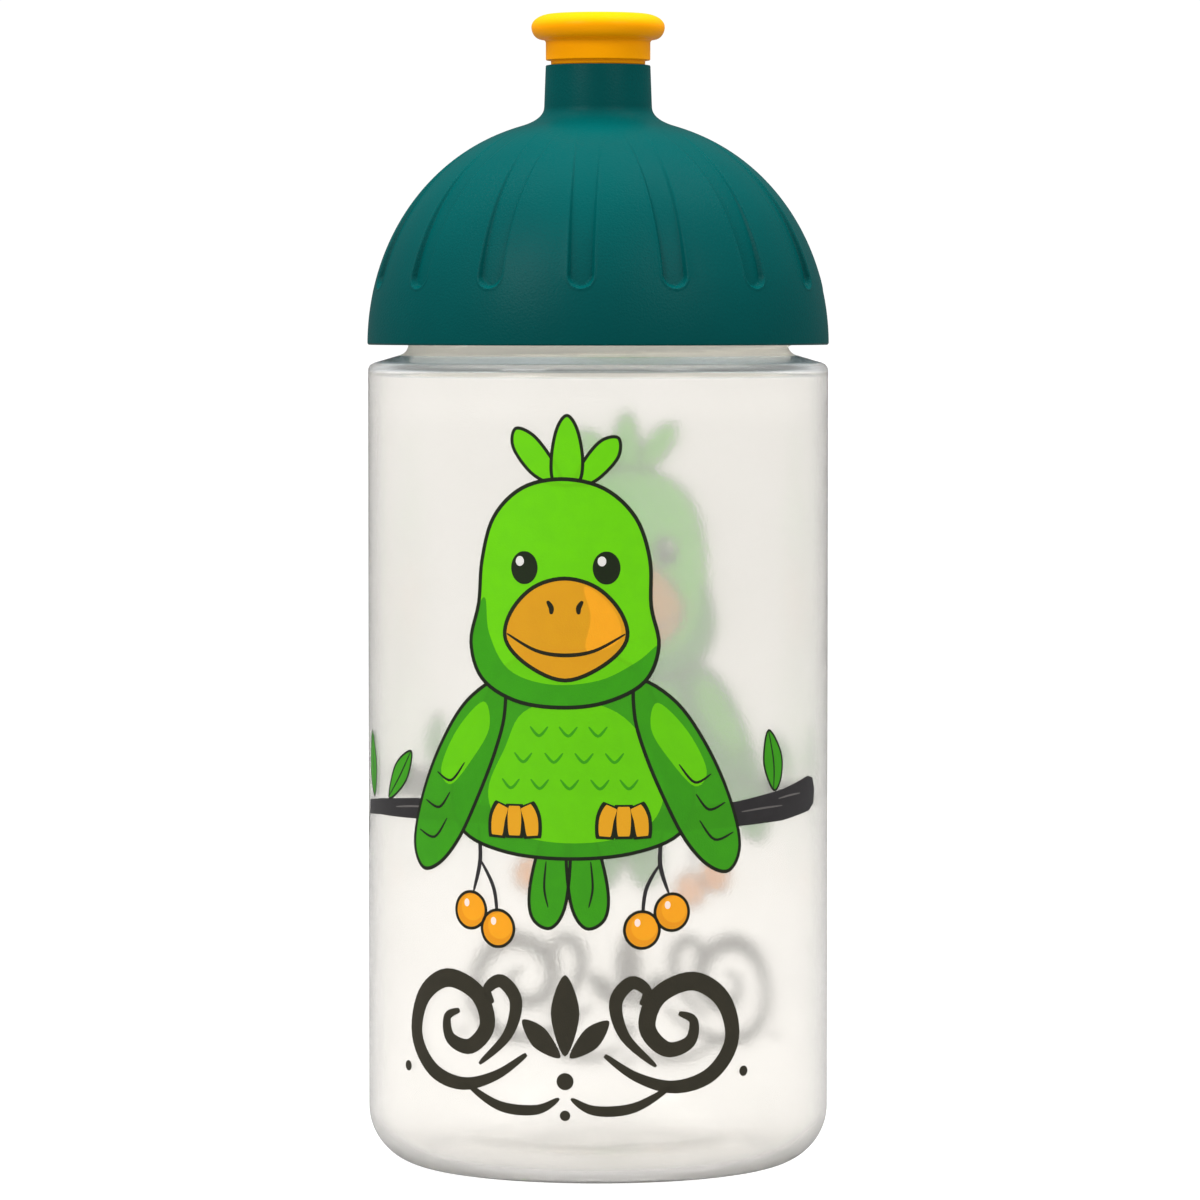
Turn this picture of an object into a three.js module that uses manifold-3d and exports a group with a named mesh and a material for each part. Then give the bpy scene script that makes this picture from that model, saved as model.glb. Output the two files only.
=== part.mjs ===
// A half-litre drinking bottle: a frosted blow-moulded bottle, a screw-on dome cap with flutes, a flat
// gasket, a valve post on a three-spoke spider, and a mouthpiece that pulls up to open and pushes down to shut.
// Millimetres, +Z up. The origin is the centre of the ring that the bottle stands on.
import * as THREE from "three";
import { mergeVertices } from "three/addons/utils/BufferGeometryUtils.js";
import Module from "manifold-3d";

const wasm = await Module();
wasm.setup();

// ---- Driving dimensions ----------------------------------------------------------------------------------

// Bottle
const BODY_RADIUS = 36;
const BODY_HEIGHT = 124.8; // from the foot to the shoulder's outer edge
const BODY_WALL = 1.1;
const BASE_WALL = 1.5;
const HEEL_RADIUS = 9; // rounding between the base and the side wall
const FOOT_WIDTH = 2.5; // flat ring that the bottle stands on
const PUSH_UP_HEIGHT = 2.6; // hollow under the base
const PUSH_UP_RUN = 5.5; // how far inwards the hollow's edge slopes
const PUSH_UP_EDGE = 1; // rounding where that slope meets the hollow's roof
const PUSH_UP_CROWN = 0.9; // how much higher the roof's centre is than its edge
const SHOULDER_STEP = 6.4; // how much narrower the neck is than the body
const SHOULDER_SLOPE = 0.29; // rise over run
const SHOULDER_EDGE = 1; // rounding of the shoulder's outer edge
const NECK_FILLET = 1.5;
const NECK_WALL = 1.5;
const LIP_CHAMFER = 0.4;

// Screw thread, shared by the bottle's neck and the cap's skirt
const THREAD_LEAD = 5;
const THREAD_HEIGHT = 1.2;
const THREAD_ROOT_WIDTH = 3;
const THREAD_CREST_WIDTH = 1.4;
const THREAD_GAP = 0.4; // from each crest to the opposite wall
const THREAD_FLANK_GAP = 0.3; // nearest gap between the flanks with the cap tight
const THREAD_BITE = 0.4; // how far a ridge is sunk into its own wall
const THREAD_RUNOUT = THREE.MathUtils.degToRad(25); // over which a ridge grows from its tip to full size
const THREAD_TIP = 0.15; // a ridge's size at its tip, as a share of the full size
const THREAD_FIRST_ANGLE = THREE.MathUtils.degToRad(-150); // where the neck's ridge begins, from +X
const THREAD_FIRST_RISE = 0.15; // height of its middle there, above the shoulder's inner corner

// Cap
const CAP_GAP = 3.1; // from the shoulder's edge up to the cap's rim
const CAP_WALL = 1.6;
const DOME_HEIGHT = 35.55; // of the dome's whole curve above the rim
const DOME_FULLNESS = 2.27; // 2 is an ellipse, and more is fuller
const SKIRT_WALL = 1.6;
const SKIRT_RECESS = 0.7; // the skirt stops this far above the rim
const SKIRT_LEAD_IN = 0.3; // plain stretch of the skirt below its ridge
const SEAT_WALL = 2; // what the dome leaves outside the bore at the gasket's seat
const SEAT_THICKNESS = 1.6;
const SEAT_WIDTH = 4.2;
const FLUTE_COUNT = 15;
const FLUTE_WIDTH = 4;
const FLUTE_DEPTH = 0.75;
const FLUTE_FOOT = 8.7; // height of a flute's round lower end above the rim
const FLUTE_FADE = 4.25; // flutes fade out this far below the top of the dome's curve
const FLUTE_ANGLE = THREE.MathUtils.degToRad(-94.3); // the flute nearest the front, from +X

// Tower on the dome, in which the mouthpiece slides
const TOWER_RISE = 7.95; // above the top of the dome's curve
const TOWER_WALL = 0.95;
const TOWER_DRAFT = 0.25; // how much wider the tower is at its foot
const TOWER_FILLET_RUN = 3.6; // how far out on the dome the fillet at its foot begins
const TOWER_FILLET_RISE = 2; // how far up the tower it ends
const LEDGE_DEPTH = 9.5; // from the tower's top to the ledge that stops the barb
const BOSS_LENGTH = 18; // from the tower's top to the boss's lower end
const BOSS_WALL = 1.7;

// Mouthpiece
const STEM_RADIUS = 6.95;
const STEM_WALL = 2.05;
const STEM_GAP = 0.25; // from the stem to the tower's bore
const MOUTHPIECE_TRAVEL = 6;
const MOUTH_RADIUS = 2.75;
const MOUTH_LENGTH = 3.2;
const MOUTH_EDGE = 0.8; // rounding of the mouth's edge
const COLLAR_STEP = 1.2; // how much wider the collar is than the stem
const FLANGE_STEP = 2.25; // how much wider the flange is than the collar
const FLANGE_THICKNESS = 4.1;
const FLANGE_TOP_RUN = 3.4; // how far in the top edge's rounding runs
const COLLAR_HEIGHT = 3.15;
const COLLAR_CHAMFER = 0.35;
const WAIST_STEP = 0.4; // how much wider the waist is than the stem
const WAIST_HEIGHT = 0.65;
const BARB_STEP = 0.7; // how much wider the barb is than the stem
const BARB_HEIGHT = 1.2;
const BARB_LAND = 0.4; // straight part of the barb's height
const BARB_GAP = 0.35; // from the barb to the boss's wall

// O-ring in the stem's groove
const ORING_SECTION_RADIUS = 0.62;
const ORING_GAP = 0.08; // from the ring to the tower's bore, and to its groove
const ORING_ABOVE_LEDGE = 2.4;

// Valve post
const PLUG_GAP = 0.15; // from the plug to the mouth's wall
const PLUG_HEIGHT = 2.8;
const PLUG_RECESS = 0.5; // the plug's top is this far below the mouthpiece's
const PLUG_EDGE = 0.9; // rounding of the plug's top
const POST_RADIUS = 1.7;
const POST_FILLET = 1.2;
const HUB_RADIUS = 3;
const SPIDER_THICKNESS = 1.7;
const SPIDER_RIM = 1.3;
const SPIDER_GRIP = 3.4; // how far the spider's rim reaches up the boss
const SPOKE_COUNT = 3;
const SPOKE_WIDTH = 2.2;

// Gasket
const GASKET_THICKNESS = 1.4;
const GASKET_GAP = 0.3; // from the gasket's edge to the cap's bore

const TOUCH = 0.1; // gap left between faces that rest on each other
const REST_GAP = 0.2; // gap left between pieces that clip together

// Facets
const BIG_SEGMENTS = 44;
const SMALL_SEGMENTS = 24;
const THREAD_SEGMENTS = 24; // per turn
const DOME_STEPS = 10;
const ARC_STEPS = 4;
const SMALL_ARC_STEPS = 3;

// ---- Sizes worked out from them --------------------------------------------------------------------------

const NECK_RADIUS = BODY_RADIUS - SHOULDER_STEP;
const THREAD_CREST = NECK_RADIUS + THREAD_HEIGHT;
const CAP_BORE = THREAD_CREST + THREAD_GAP;
const CAP_THREAD_CREST = NECK_RADIUS + THREAD_GAP;
const THREAD_START_Z = BODY_HEIGHT + SHOULDER_STEP * SHOULDER_SLOPE + THREAD_FIRST_RISE;

const CAP_RADIUS = BODY_RADIUS; // the cap's rim is flush with the bottle's side
const RIM_Z = BODY_HEIGHT + CAP_GAP;
const TOWER_TOP_Z = RIM_Z + DOME_HEIGHT + TOWER_RISE;
const TOWER_BORE = STEM_RADIUS + STEM_GAP;
const TOWER_RADIUS = TOWER_BORE + TOWER_WALL;
const TOWER_FOOT_RADIUS = TOWER_RADIUS + TOWER_DRAFT;
const LEDGE_Z = TOWER_TOP_Z - LEDGE_DEPTH;
const BOSS_END_Z = TOWER_TOP_Z - BOSS_LENGTH;
const BARB_RADIUS = STEM_RADIUS + BARB_STEP;
const BOSS_BORE = BARB_RADIUS + BARB_GAP;
const BOSS_RADIUS = BOSS_BORE + BOSS_WALL;

// The dome is a superellipse of revolution, (r / radius)^fullness + (z / height)^2 = 1.
const domeRadius = (z, radius, height) =>
  radius * Math.pow(Math.max(0, 1 - (z / height) ** 2), 1 / DOME_FULLNESS);
const domeHeight = (r, radius, height) => height * Math.sqrt(1 - Math.pow(r / radius, DOME_FULLNESS));
const domeSlope = (r, radius, height) => {
  const share = Math.pow(r / radius, DOME_FULLNESS);
  return (height * DOME_FULLNESS * share) / (2 * r * Math.sqrt(1 - share));
};
const INNER_RADIUS = CAP_RADIUS - CAP_WALL;
const INNER_HEIGHT = DOME_HEIGHT - CAP_WALL;

// The gasket's seat is as high as the dome leaves enough wall outside the bore.
const SEAT_Z = RIM_Z + domeHeight(CAP_BORE + SEAT_WALL, CAP_RADIUS, DOME_HEIGHT);
const LIP_Z = SEAT_Z - GASKET_THICKNESS - 2 * TOUCH;

const MOUTHPIECE_TOP_Z = TOWER_TOP_Z + TOUCH + WAIST_HEIGHT + COLLAR_HEIGHT + FLANGE_THICKNESS;
const BARB_TOP_Z = LEDGE_Z - MOUTHPIECE_TRAVEL - TOUCH;
const STEM_BORE = STEM_RADIUS - STEM_WALL;
const ORING_Z = LEDGE_Z + ORING_ABOVE_LEDGE;
const ORING_RADIUS = TOWER_BORE - ORING_GAP - ORING_SECTION_RADIUS;
const PLUG_RADIUS = MOUTH_RADIUS - PLUG_GAP;

// ---- Helpers ---------------------------------------------------------------------------------------------

const point = (r, z) => new THREE.Vector2(r, z);

// Points of a quarter ellipse from one point to another that bulges towards the given corner.
function quarter(from, corner, to, steps = ARC_STEPS) {
  const centre = from.clone().add(to).sub(corner);
  const a = from.clone().sub(centre);
  const b = to.clone().sub(centre);
  const points = [];
  for (let i = 0; i <= steps; i++) {
    const t = (i / steps) * (Math.PI / 2);
    points.push(centre.clone().addScaledVector(a, Math.cos(t)).addScaledVector(b, Math.sin(t)));
  }
  return points;
}

// Points of a fillet between two straight or nearly straight stretches that would meet at the corner.
const fillet = (from, corner, to, steps = SMALL_ARC_STEPS) =>
  new THREE.QuadraticBezierCurve(from, corner, to).getPoints(steps);

const signedArea = (profile) =>
  profile.reduce((sum, p, i) => {
    const q = profile[(i + 1) % profile.length];
    return sum + (p.x * q.y - q.x * p.y) / 2;
  }, 0);

// A closed profile of (radius, height) points turned about the Z axis.
function revolve(profile, segments) {
  const points = profile.filter((p, i) => i === 0 || p.distanceTo(profile[i - 1]) > 1e-6);
  if (signedArea(points) < 0) points.reverse();
  const onAxis = points[0].x === 0 && points[points.length - 1].x === 0;
  if (!onAxis) points.push(points[0].clone());
  return new THREE.LatheGeometry(points, segments).rotateX(Math.PI / 2);
}

// A three.js geometry as a manifold-3d solid, and back.
function toSolid(geometry) {
  const bare = geometry.index ? geometry.toNonIndexed() : geometry.clone();
  bare.deleteAttribute("normal");
  bare.deleteAttribute("uv");
  const merged = mergeVertices(bare, 1e-4);
  return new wasm.Manifold(
    new wasm.Mesh({
      numProp: 3,
      vertProperties: merged.attributes.position.array,
      triVerts: new Uint32Array(merged.index.array),
    }),
  );
}

function toGeometry(solid) {
  const mesh = solid.getMesh();
  const geometry = new THREE.BufferGeometry();
  geometry.setAttribute("position", new THREE.BufferAttribute(new Float32Array(mesh.vertProperties), 3));
  geometry.setIndex(new THREE.BufferAttribute(new Uint32Array(mesh.triVerts), 1));
  return geometry;
}

// A thread ridge that winds about Z: a straight bar with a trapezoid section, extruded and then wound up.
// It grows from the wall at rootRadius, outwards or inwards, to crestRadius.
function threadRidge({ rootRadius, crestRadius, startAngle, startZ, endZ }) {
  const outwards = Math.sign(crestRadius - rootRadius);
  const sweep = ((endZ - startZ) / THREAD_LEAD) * 2 * Math.PI;
  const steps = Math.ceil((sweep / (2 * Math.PI)) * THREAD_SEGMENTS);
  const section = new THREE.Shape([
    point(-THREAD_BITE, -THREAD_ROOT_WIDTH / 2),
    point(THREAD_HEIGHT, -THREAD_CREST_WIDTH / 2),
    point(THREAD_HEIGHT, THREAD_CREST_WIDTH / 2),
    point(-THREAD_BITE, THREAD_ROOT_WIDTH / 2),
  ]);
  const bar = new THREE.ExtrudeGeometry(section, { depth: sweep, steps, bevelEnabled: false });
  const position = bar.attributes.position;
  for (let i = 0; i < position.count; i++) {
    // An outward ridge is wound from its far end, which keeps its faces pointing out.
    const turned = outwards > 0 ? sweep - position.getZ(i) : position.getZ(i);
    const toEnd = Math.min(turned, sweep - turned) / THREAD_RUNOUT;
    const grown = THREAD_TIP + (1 - THREAD_TIP) * Math.min(1, toEnd);
    const stand = position.getX(i) > 0 ? position.getX(i) * grown : position.getX(i);
    const radius = rootRadius + outwards * stand;
    const z = startZ + (turned / (2 * Math.PI)) * THREAD_LEAD + position.getY(i) * grown;
    position.setXYZ(
      i,
      radius * Math.cos(startAngle + turned),
      radius * Math.sin(startAngle + turned),
      z,
    );
  }
  return toSolid(bar);
}

const group = new THREE.Group();

function add(name, geometry, material) {
  const mesh = new THREE.Mesh(geometry, material);
  mesh.name = name;
  group.add(mesh);
}

// ---- Materials -------------------------------------------------------------------------------------------

const frostedPlastic = new THREE.MeshStandardMaterial({
  color: 0xf0efea,
  roughness: 0.4,
  metalness: 0,
  transparent: true,
  opacity: 0.5,
});
const tealPlastic = new THREE.MeshStandardMaterial({ color: 0x00625f, roughness: 0.45, metalness: 0 });
const yellowPlastic = new THREE.MeshStandardMaterial({ color: 0xffb400, roughness: 0.4, metalness: 0 });
const silicone = new THREE.MeshStandardMaterial({ color: 0xe8e8e4, roughness: 0.7, metalness: 0 });

// ---- Bottle ----------------------------------------------------------------------------------------------

function bottle() {
  const footOuter = BODY_RADIUS - HEEL_RADIUS;
  const footInner = footOuter - FOOT_WIDTH;
  const hollowEdge = footInner - PUSH_UP_RUN;
  const innerBody = BODY_RADIUS - BODY_WALL;
  const innerNeck = NECK_RADIUS - NECK_WALL;
  const shoulderZ = (r) => BODY_HEIGHT + (BODY_RADIUS - r) * SHOULDER_SLOPE;
  const innerShoulderZ = (r) => shoulderZ(r) - BODY_WALL;
  const filletRun = NECK_FILLET + NECK_WALL;
  const roof = (share, wall) =>
    point(hollowEdge * share, PUSH_UP_HEIGHT + PUSH_UP_CROWN * (1 - share ** 2) + wall);
  const outside = [
    roof(0, 0),
    roof(0.5, 0),
    ...fillet(
      point(hollowEdge - PUSH_UP_EDGE, PUSH_UP_HEIGHT),
      point(hollowEdge + PUSH_UP_EDGE, PUSH_UP_HEIGHT),
      point(footInner - PUSH_UP_RUN / 2, PUSH_UP_HEIGHT / 2),
    ),
    point(footInner, 0),
    ...quarter(point(footOuter, 0), point(BODY_RADIUS, 0), point(BODY_RADIUS, HEEL_RADIUS)),
    ...fillet(
      point(BODY_RADIUS, BODY_HEIGHT - SHOULDER_EDGE),
      point(BODY_RADIUS, BODY_HEIGHT),
      point(BODY_RADIUS - SHOULDER_EDGE, shoulderZ(BODY_RADIUS - SHOULDER_EDGE)),
    ),
    ...fillet(
      point(NECK_RADIUS + NECK_FILLET, shoulderZ(NECK_RADIUS + NECK_FILLET)),
      point(NECK_RADIUS, shoulderZ(NECK_RADIUS)),
      point(NECK_RADIUS, shoulderZ(NECK_RADIUS) + NECK_FILLET),
    ),
    point(NECK_RADIUS, LIP_Z - LIP_CHAMFER),
    point(NECK_RADIUS - LIP_CHAMFER, LIP_Z),
  ];
  const inside = [
    point(innerNeck, LIP_Z),
    ...fillet(
      point(innerNeck, innerShoulderZ(innerNeck) + NECK_FILLET),
      point(innerNeck, innerShoulderZ(innerNeck)),
      point(innerNeck + filletRun, innerShoulderZ(innerNeck + filletRun)),
    ),
    ...fillet(
      point(innerBody - SHOULDER_EDGE, innerShoulderZ(innerBody - SHOULDER_EDGE)),
      point(innerBody, innerShoulderZ(innerBody)),
      point(innerBody, BODY_HEIGHT - BODY_WALL - SHOULDER_EDGE),
    ),
    ...quarter(point(innerBody, HEEL_RADIUS), point(innerBody, BASE_WALL), point(footOuter, BASE_WALL)),
    point(footInner, BASE_WALL),
    roof(1, BASE_WALL),
    roof(0.5, BASE_WALL),
    roof(0, BASE_WALL),
  ];
  const ridge = threadRidge({
    rootRadius: NECK_RADIUS,
    crestRadius: THREAD_CREST,
    startAngle: THREAD_FIRST_ANGLE,
    startZ: THREAD_START_Z,
    endZ: LIP_Z - THREAD_ROOT_WIDTH,
  });
  return toGeometry(toSolid(revolve([...outside, ...inside], BIG_SEGMENTS)).add(ridge));
}

add("bottle", bottle(), frostedPlastic);

// ---- Cap -------------------------------------------------------------------------------------------------

// Points on the dome's curve between two heights above the rim, spaced evenly by angle.
function domePoints(radius, height, fromZ, toZ, steps = DOME_STEPS) {
  const points = [];
  const first = Math.asin(fromZ / height);
  const last = Math.asin(toZ / height);
  for (let i = 0; i <= steps; i++) {
    const z = height * Math.sin(first + ((last - first) * i) / steps);
    points.push(point(domeRadius(z, radius, height), RIM_Z + z));
  }
  return points;
}

// What the flutes take from the dome: bars with a round lower end that point outwards, less the flutes' floor.
function fluteCutter(surface) {
  const half = FLUTE_WIDTH / 2;
  const fadeZ = DOME_HEIGHT - FLUTE_FADE;
  const barFrom = TOWER_FOOT_RADIUS + TOWER_FILLET_RUN;
  const outline = new THREE.Shape();
  outline.moveTo(half, fadeZ + half);
  outline.lineTo(-half, fadeZ + half);
  outline.lineTo(-half, FLUTE_FOOT + half);
  outline.absarc(0, FLUTE_FOOT + half, half, Math.PI, 2 * Math.PI, false);
  outline.closePath();
  const bar = new THREE.ExtrudeGeometry(outline, {
    depth: CAP_RADIUS + FLUTE_DEPTH - barFrom,
    curveSegments: ARC_STEPS,
    bevelEnabled: false,
  });
  // The bar is drawn across X, rises along Y and is extruded along Z: stand it up and point it along +X.
  bar.translate(0, 0, barFrom).rotateX(Math.PI / 2).rotateZ(Math.PI / 2).translate(0, 0, RIM_Z);
  const bars = [];
  for (let i = 0; i < FLUTE_COUNT; i++) {
    const turned = bar.clone().rotateZ(FLUTE_ANGLE + (i / FLUTE_COUNT) * 2 * Math.PI);
    bars.push(toSolid(turned));
  }
  // The floor sinks to the full depth at the flute's foot and rises past the dome's surface above the fade.
  const depthAt = (z) => (FLUTE_DEPTH * (fadeZ - z)) / (fadeZ - FLUTE_FOOT - half);
  const floor = surface.map((p) => point(p.x - Math.min(FLUTE_DEPTH, depthAt(p.y - RIM_Z)), p.y));
  const core = [point(0, RIM_Z), ...floor, point(0, floor[floor.length - 1].y)];
  return wasm.Manifold.union(bars).subtract(toSolid(revolve(core, BIG_SEGMENTS)));
}

function capDome() {
  const filletFrom = TOWER_FOOT_RADIUS + TOWER_FILLET_RUN;
  const filletFromZ = domeHeight(filletFrom, CAP_RADIUS, DOME_HEIGHT);
  const rise = TOWER_FILLET_RUN * domeSlope(filletFrom, CAP_RADIUS, DOME_HEIGHT);
  const cornerZ = RIM_Z + filletFromZ + rise; // where the dome's slope there meets the tower
  const skirtOuter = CAP_BORE + SKIRT_WALL;
  const seatInner = CAP_BORE - SEAT_WIDTH;
  const seatTop = SEAT_Z + SEAT_THICKNESS;
  const innerAt = (r) => domeHeight(r, INNER_RADIUS, INNER_HEIGHT);
  const innerDome = (fromZ, toZ) => domePoints(INNER_RADIUS, INNER_HEIGHT, fromZ, toZ, DOME_STEPS / 2);
  const surface = domePoints(CAP_RADIUS, DOME_HEIGHT, 0, filletFromZ);
  const outside = [
    ...surface,
    ...fillet(
      point(filletFrom, RIM_Z + filletFromZ),
      point(TOWER_FOOT_RADIUS, cornerZ),
      point(TOWER_FOOT_RADIUS, cornerZ + TOWER_FILLET_RISE),
      ARC_STEPS,
    ),
    point(TOWER_RADIUS, TOWER_TOP_Z),
  ];
  const inside = [
    point(TOWER_BORE, TOWER_TOP_Z),
    point(TOWER_BORE, LEDGE_Z),
    point(BOSS_BORE, LEDGE_Z),
    point(BOSS_BORE, BOSS_END_Z),
    point(BOSS_RADIUS, BOSS_END_Z),
    ...innerDome(seatTop - RIM_Z, innerAt(BOSS_RADIUS)).reverse(),
    point(seatInner, seatTop),
    point(seatInner, SEAT_Z),
    point(CAP_BORE, SEAT_Z),
    point(CAP_BORE, RIM_Z + SKIRT_RECESS),
    point(skirtOuter, RIM_Z + SKIRT_RECESS),
    ...innerDome(0, innerAt(skirtOuter)).reverse(),
  ];
  // The cap's ridge runs under the neck's, low enough to leave the flank gap when the cap is tight.
  const reach = THREAD_HEIGHT - THREAD_GAP;
  const flankRun = (THREAD_ROOT_WIDTH - THREAD_CREST_WIDTH) / (THREAD_HEIGHT + THREAD_BITE);
  const drop = THREAD_CREST_WIDTH + (reach * flankRun) / 2 + THREAD_FLANK_GAP;
  const startZ = RIM_Z + SKIRT_RECESS + SKIRT_LEAD_IN + THREAD_ROOT_WIDTH / 2;
  const turned = ((startZ + drop - THREAD_START_Z) / THREAD_LEAD) * 2 * Math.PI;
  const ridge = threadRidge({
    rootRadius: CAP_BORE,
    crestRadius: CAP_THREAD_CREST,
    startAngle: THREAD_FIRST_ANGLE + turned,
    startZ,
    endZ: LIP_Z - THREAD_ROOT_WIDTH - drop / 2,
  });
  const shell = toSolid(revolve([...outside, ...inside], BIG_SEGMENTS));
  return toGeometry(shell.add(ridge).subtract(fluteCutter(surface)));
}

add("cap_dome", capDome(), tealPlastic);

// ---- Gasket between the bottle's lip and the cap's seat --------------------------------------------------

function capGasket() {
  const outer = CAP_BORE - GASKET_GAP;
  const inner = outer - SEAT_WIDTH + 2 * GASKET_GAP;
  const bottom = LIP_Z + TOUCH;
  const top = bottom + GASKET_THICKNESS;
  return revolve(
    [point(inner, bottom), point(outer, bottom), point(outer, top), point(inner, top)],
    BIG_SEGMENTS,
  );
}

add("cap_gasket", capGasket(), silicone);

// ---- Valve post: spider, post and plug -------------------------------------------------------------------

function valvePost() {
  const top = BOSS_END_Z - REST_GAP;
  const bottom = top - SPIDER_THICKNESS;
  const rimInner = BOSS_RADIUS + REST_GAP;
  const rimOuter = rimInner + SPIDER_RIM;
  const flowOuter = BOSS_BORE;
  const plugTop = MOUTHPIECE_TOP_Z - PLUG_RECESS;
  const plugFoot = plugTop - PLUG_HEIGHT;
  const ring = revolve(
    [
      point(flowOuter, bottom),
      point(rimOuter, bottom),
      point(rimOuter, top + SPIDER_GRIP),
      point(rimInner, top + SPIDER_GRIP),
      point(rimInner, top),
      point(flowOuter, top),
    ],
    SMALL_SEGMENTS,
  );
  const pin = revolve(
    [
      point(0, bottom),
      point(HUB_RADIUS, bottom),
      point(HUB_RADIUS, top),
      ...fillet(
        point(POST_RADIUS + POST_FILLET, top),
        point(POST_RADIUS, top),
        point(POST_RADIUS, top + POST_FILLET),
      ),
      point(POST_RADIUS, plugFoot - (PLUG_RADIUS - POST_RADIUS)),
      point(PLUG_RADIUS, plugFoot),
      ...quarter(
        point(PLUG_RADIUS, plugTop - PLUG_EDGE),
        point(PLUG_RADIUS, plugTop),
        point(PLUG_RADIUS - PLUG_EDGE, plugTop),
        SMALL_ARC_STEPS,
      ),
      point(0, plugTop),
    ],
    SMALL_SEGMENTS,
  );
  const spokes = [];
  const reach = (flowOuter + rimOuter) / 2;
  for (let i = 0; i < SPOKE_COUNT; i++) {
    const spoke = new THREE.BoxGeometry(reach, SPOKE_WIDTH, SPIDER_THICKNESS);
    spoke.translate(reach / 2, 0, (top + bottom) / 2).rotateZ((i / SPOKE_COUNT) * 2 * Math.PI);
    spokes.push(toSolid(spoke));
  }
  return toGeometry(wasm.Manifold.union([toSolid(ring), toSolid(pin), ...spokes]));
}

add("valve_post", valvePost(), tealPlastic);

// ---- Mouthpiece, pushed down -----------------------------------------------------------------------------

function mouthpiece() {
  const waistZ = TOWER_TOP_Z + TOUCH;
  const collarZ = waistZ + WAIST_HEIGHT;
  const flangeZ = collarZ + COLLAR_HEIGHT;
  const topZ = MOUTHPIECE_TOP_Z;
  const waist = STEM_RADIUS + WAIST_STEP;
  const collar = STEM_RADIUS + COLLAR_STEP;
  const flange = collar + FLANGE_STEP;
  const widestZ = flangeZ + FLANGE_THICKNESS / 2;
  const mouthZ = topZ - MOUTH_LENGTH;
  const stemEndZ = BARB_TOP_Z - BARB_HEIGHT;
  const grooveRadius = ORING_RADIUS - ORING_SECTION_RADIUS - ORING_GAP;
  const grooveHalf = ORING_SECTION_RADIUS + 2 * ORING_GAP;
  const outside = [
    point(STEM_BORE, stemEndZ),
    point(STEM_RADIUS, stemEndZ),
    point(BARB_RADIUS, BARB_TOP_Z - BARB_LAND),
    point(BARB_RADIUS, BARB_TOP_Z),
    point(STEM_RADIUS, BARB_TOP_Z),
    point(STEM_RADIUS, ORING_Z - grooveHalf),
    point(grooveRadius, ORING_Z - grooveHalf),
    point(grooveRadius, ORING_Z + grooveHalf),
    point(STEM_RADIUS, ORING_Z + grooveHalf),
    point(STEM_RADIUS, waistZ),
    point(waist, waistZ),
    point(waist, collarZ),
    point(collar - COLLAR_CHAMFER, collarZ),
    point(collar, collarZ + COLLAR_CHAMFER),
    ...quarter(point(collar, flangeZ), point(flange, flangeZ), point(flange, widestZ)),
    ...quarter(point(flange, widestZ), point(flange, topZ), point(flange - FLANGE_TOP_RUN, topZ)),
  ];
  const inside = [
    ...quarter(
      point(MOUTH_RADIUS + MOUTH_EDGE, topZ),
      point(MOUTH_RADIUS, topZ),
      point(MOUTH_RADIUS, topZ - MOUTH_EDGE),
      SMALL_ARC_STEPS,
    ),
    point(MOUTH_RADIUS, mouthZ),
    point(STEM_BORE, mouthZ - (STEM_BORE - MOUTH_RADIUS)),
  ];
  return revolve([...outside, ...inside], SMALL_SEGMENTS);
}

add("mouthpiece", mouthpiece(), yellowPlastic);

// ---- O-ring on the mouthpiece's stem ---------------------------------------------------------------------

function stemOring() {
  const section = new THREE.EllipseCurve(
    ORING_RADIUS,
    ORING_Z,
    ORING_SECTION_RADIUS,
    ORING_SECTION_RADIUS,
  ).getPoints(2 * ARC_STEPS);
  return revolve(section.slice(0, -1), SMALL_SEGMENTS);
}

add("stem_oring", stemOring(), silicone);

export default group;
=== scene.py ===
# %% [markdown]
# # A half-litre drinking bottle
# A frosted, blow-moulded bottle is shut by a screw-on dome cap with flutes. A mouthpiece on top pulls up to
# open and pushes down to shut. Every piece is round, so most of them could be lathed. What isn't plain
# turning follows a rule all the same: the flutes repeat 15 times, the screw thread winds at a fixed lead, and
# the print is flat artwork rolled round the wall. Those rules are written as Geometry Nodes trees, because a
# tree keeps its sizes as named inputs, and one tree can serve two pieces, as the thread does here.

import math

import bmesh
import bpy
import numpy as np
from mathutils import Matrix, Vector
from mathutils.geometry import tessellate_polygon


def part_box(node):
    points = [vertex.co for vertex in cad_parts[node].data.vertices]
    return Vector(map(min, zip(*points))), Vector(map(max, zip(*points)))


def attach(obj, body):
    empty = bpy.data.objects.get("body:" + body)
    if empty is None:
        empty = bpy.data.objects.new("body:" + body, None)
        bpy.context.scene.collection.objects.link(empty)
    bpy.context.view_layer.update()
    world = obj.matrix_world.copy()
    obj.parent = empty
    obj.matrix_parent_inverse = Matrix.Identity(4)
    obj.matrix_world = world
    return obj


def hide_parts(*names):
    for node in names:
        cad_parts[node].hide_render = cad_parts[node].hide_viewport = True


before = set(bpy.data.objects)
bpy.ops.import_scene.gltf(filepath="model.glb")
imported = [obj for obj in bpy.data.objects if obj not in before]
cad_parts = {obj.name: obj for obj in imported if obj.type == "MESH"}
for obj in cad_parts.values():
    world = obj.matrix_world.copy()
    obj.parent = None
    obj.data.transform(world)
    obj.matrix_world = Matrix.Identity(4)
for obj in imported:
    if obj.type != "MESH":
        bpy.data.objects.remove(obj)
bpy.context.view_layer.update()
MM = 0.001

# %% [markdown]
# ## Heights read from the frame
# The visible pieces replace the plain solids of the frame, so they have to sit exactly where those sit. Each
# height below comes from the box of a solid, and only the wall shapes are written out in millimetres.

# %% Read the main heights and radii, in millimetres


def height_of(node, corner):
    """The lowest (corner 0) or highest (corner 1) point of one solid of the frame, in mm."""
    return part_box(node)[corner].z / MM


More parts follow.
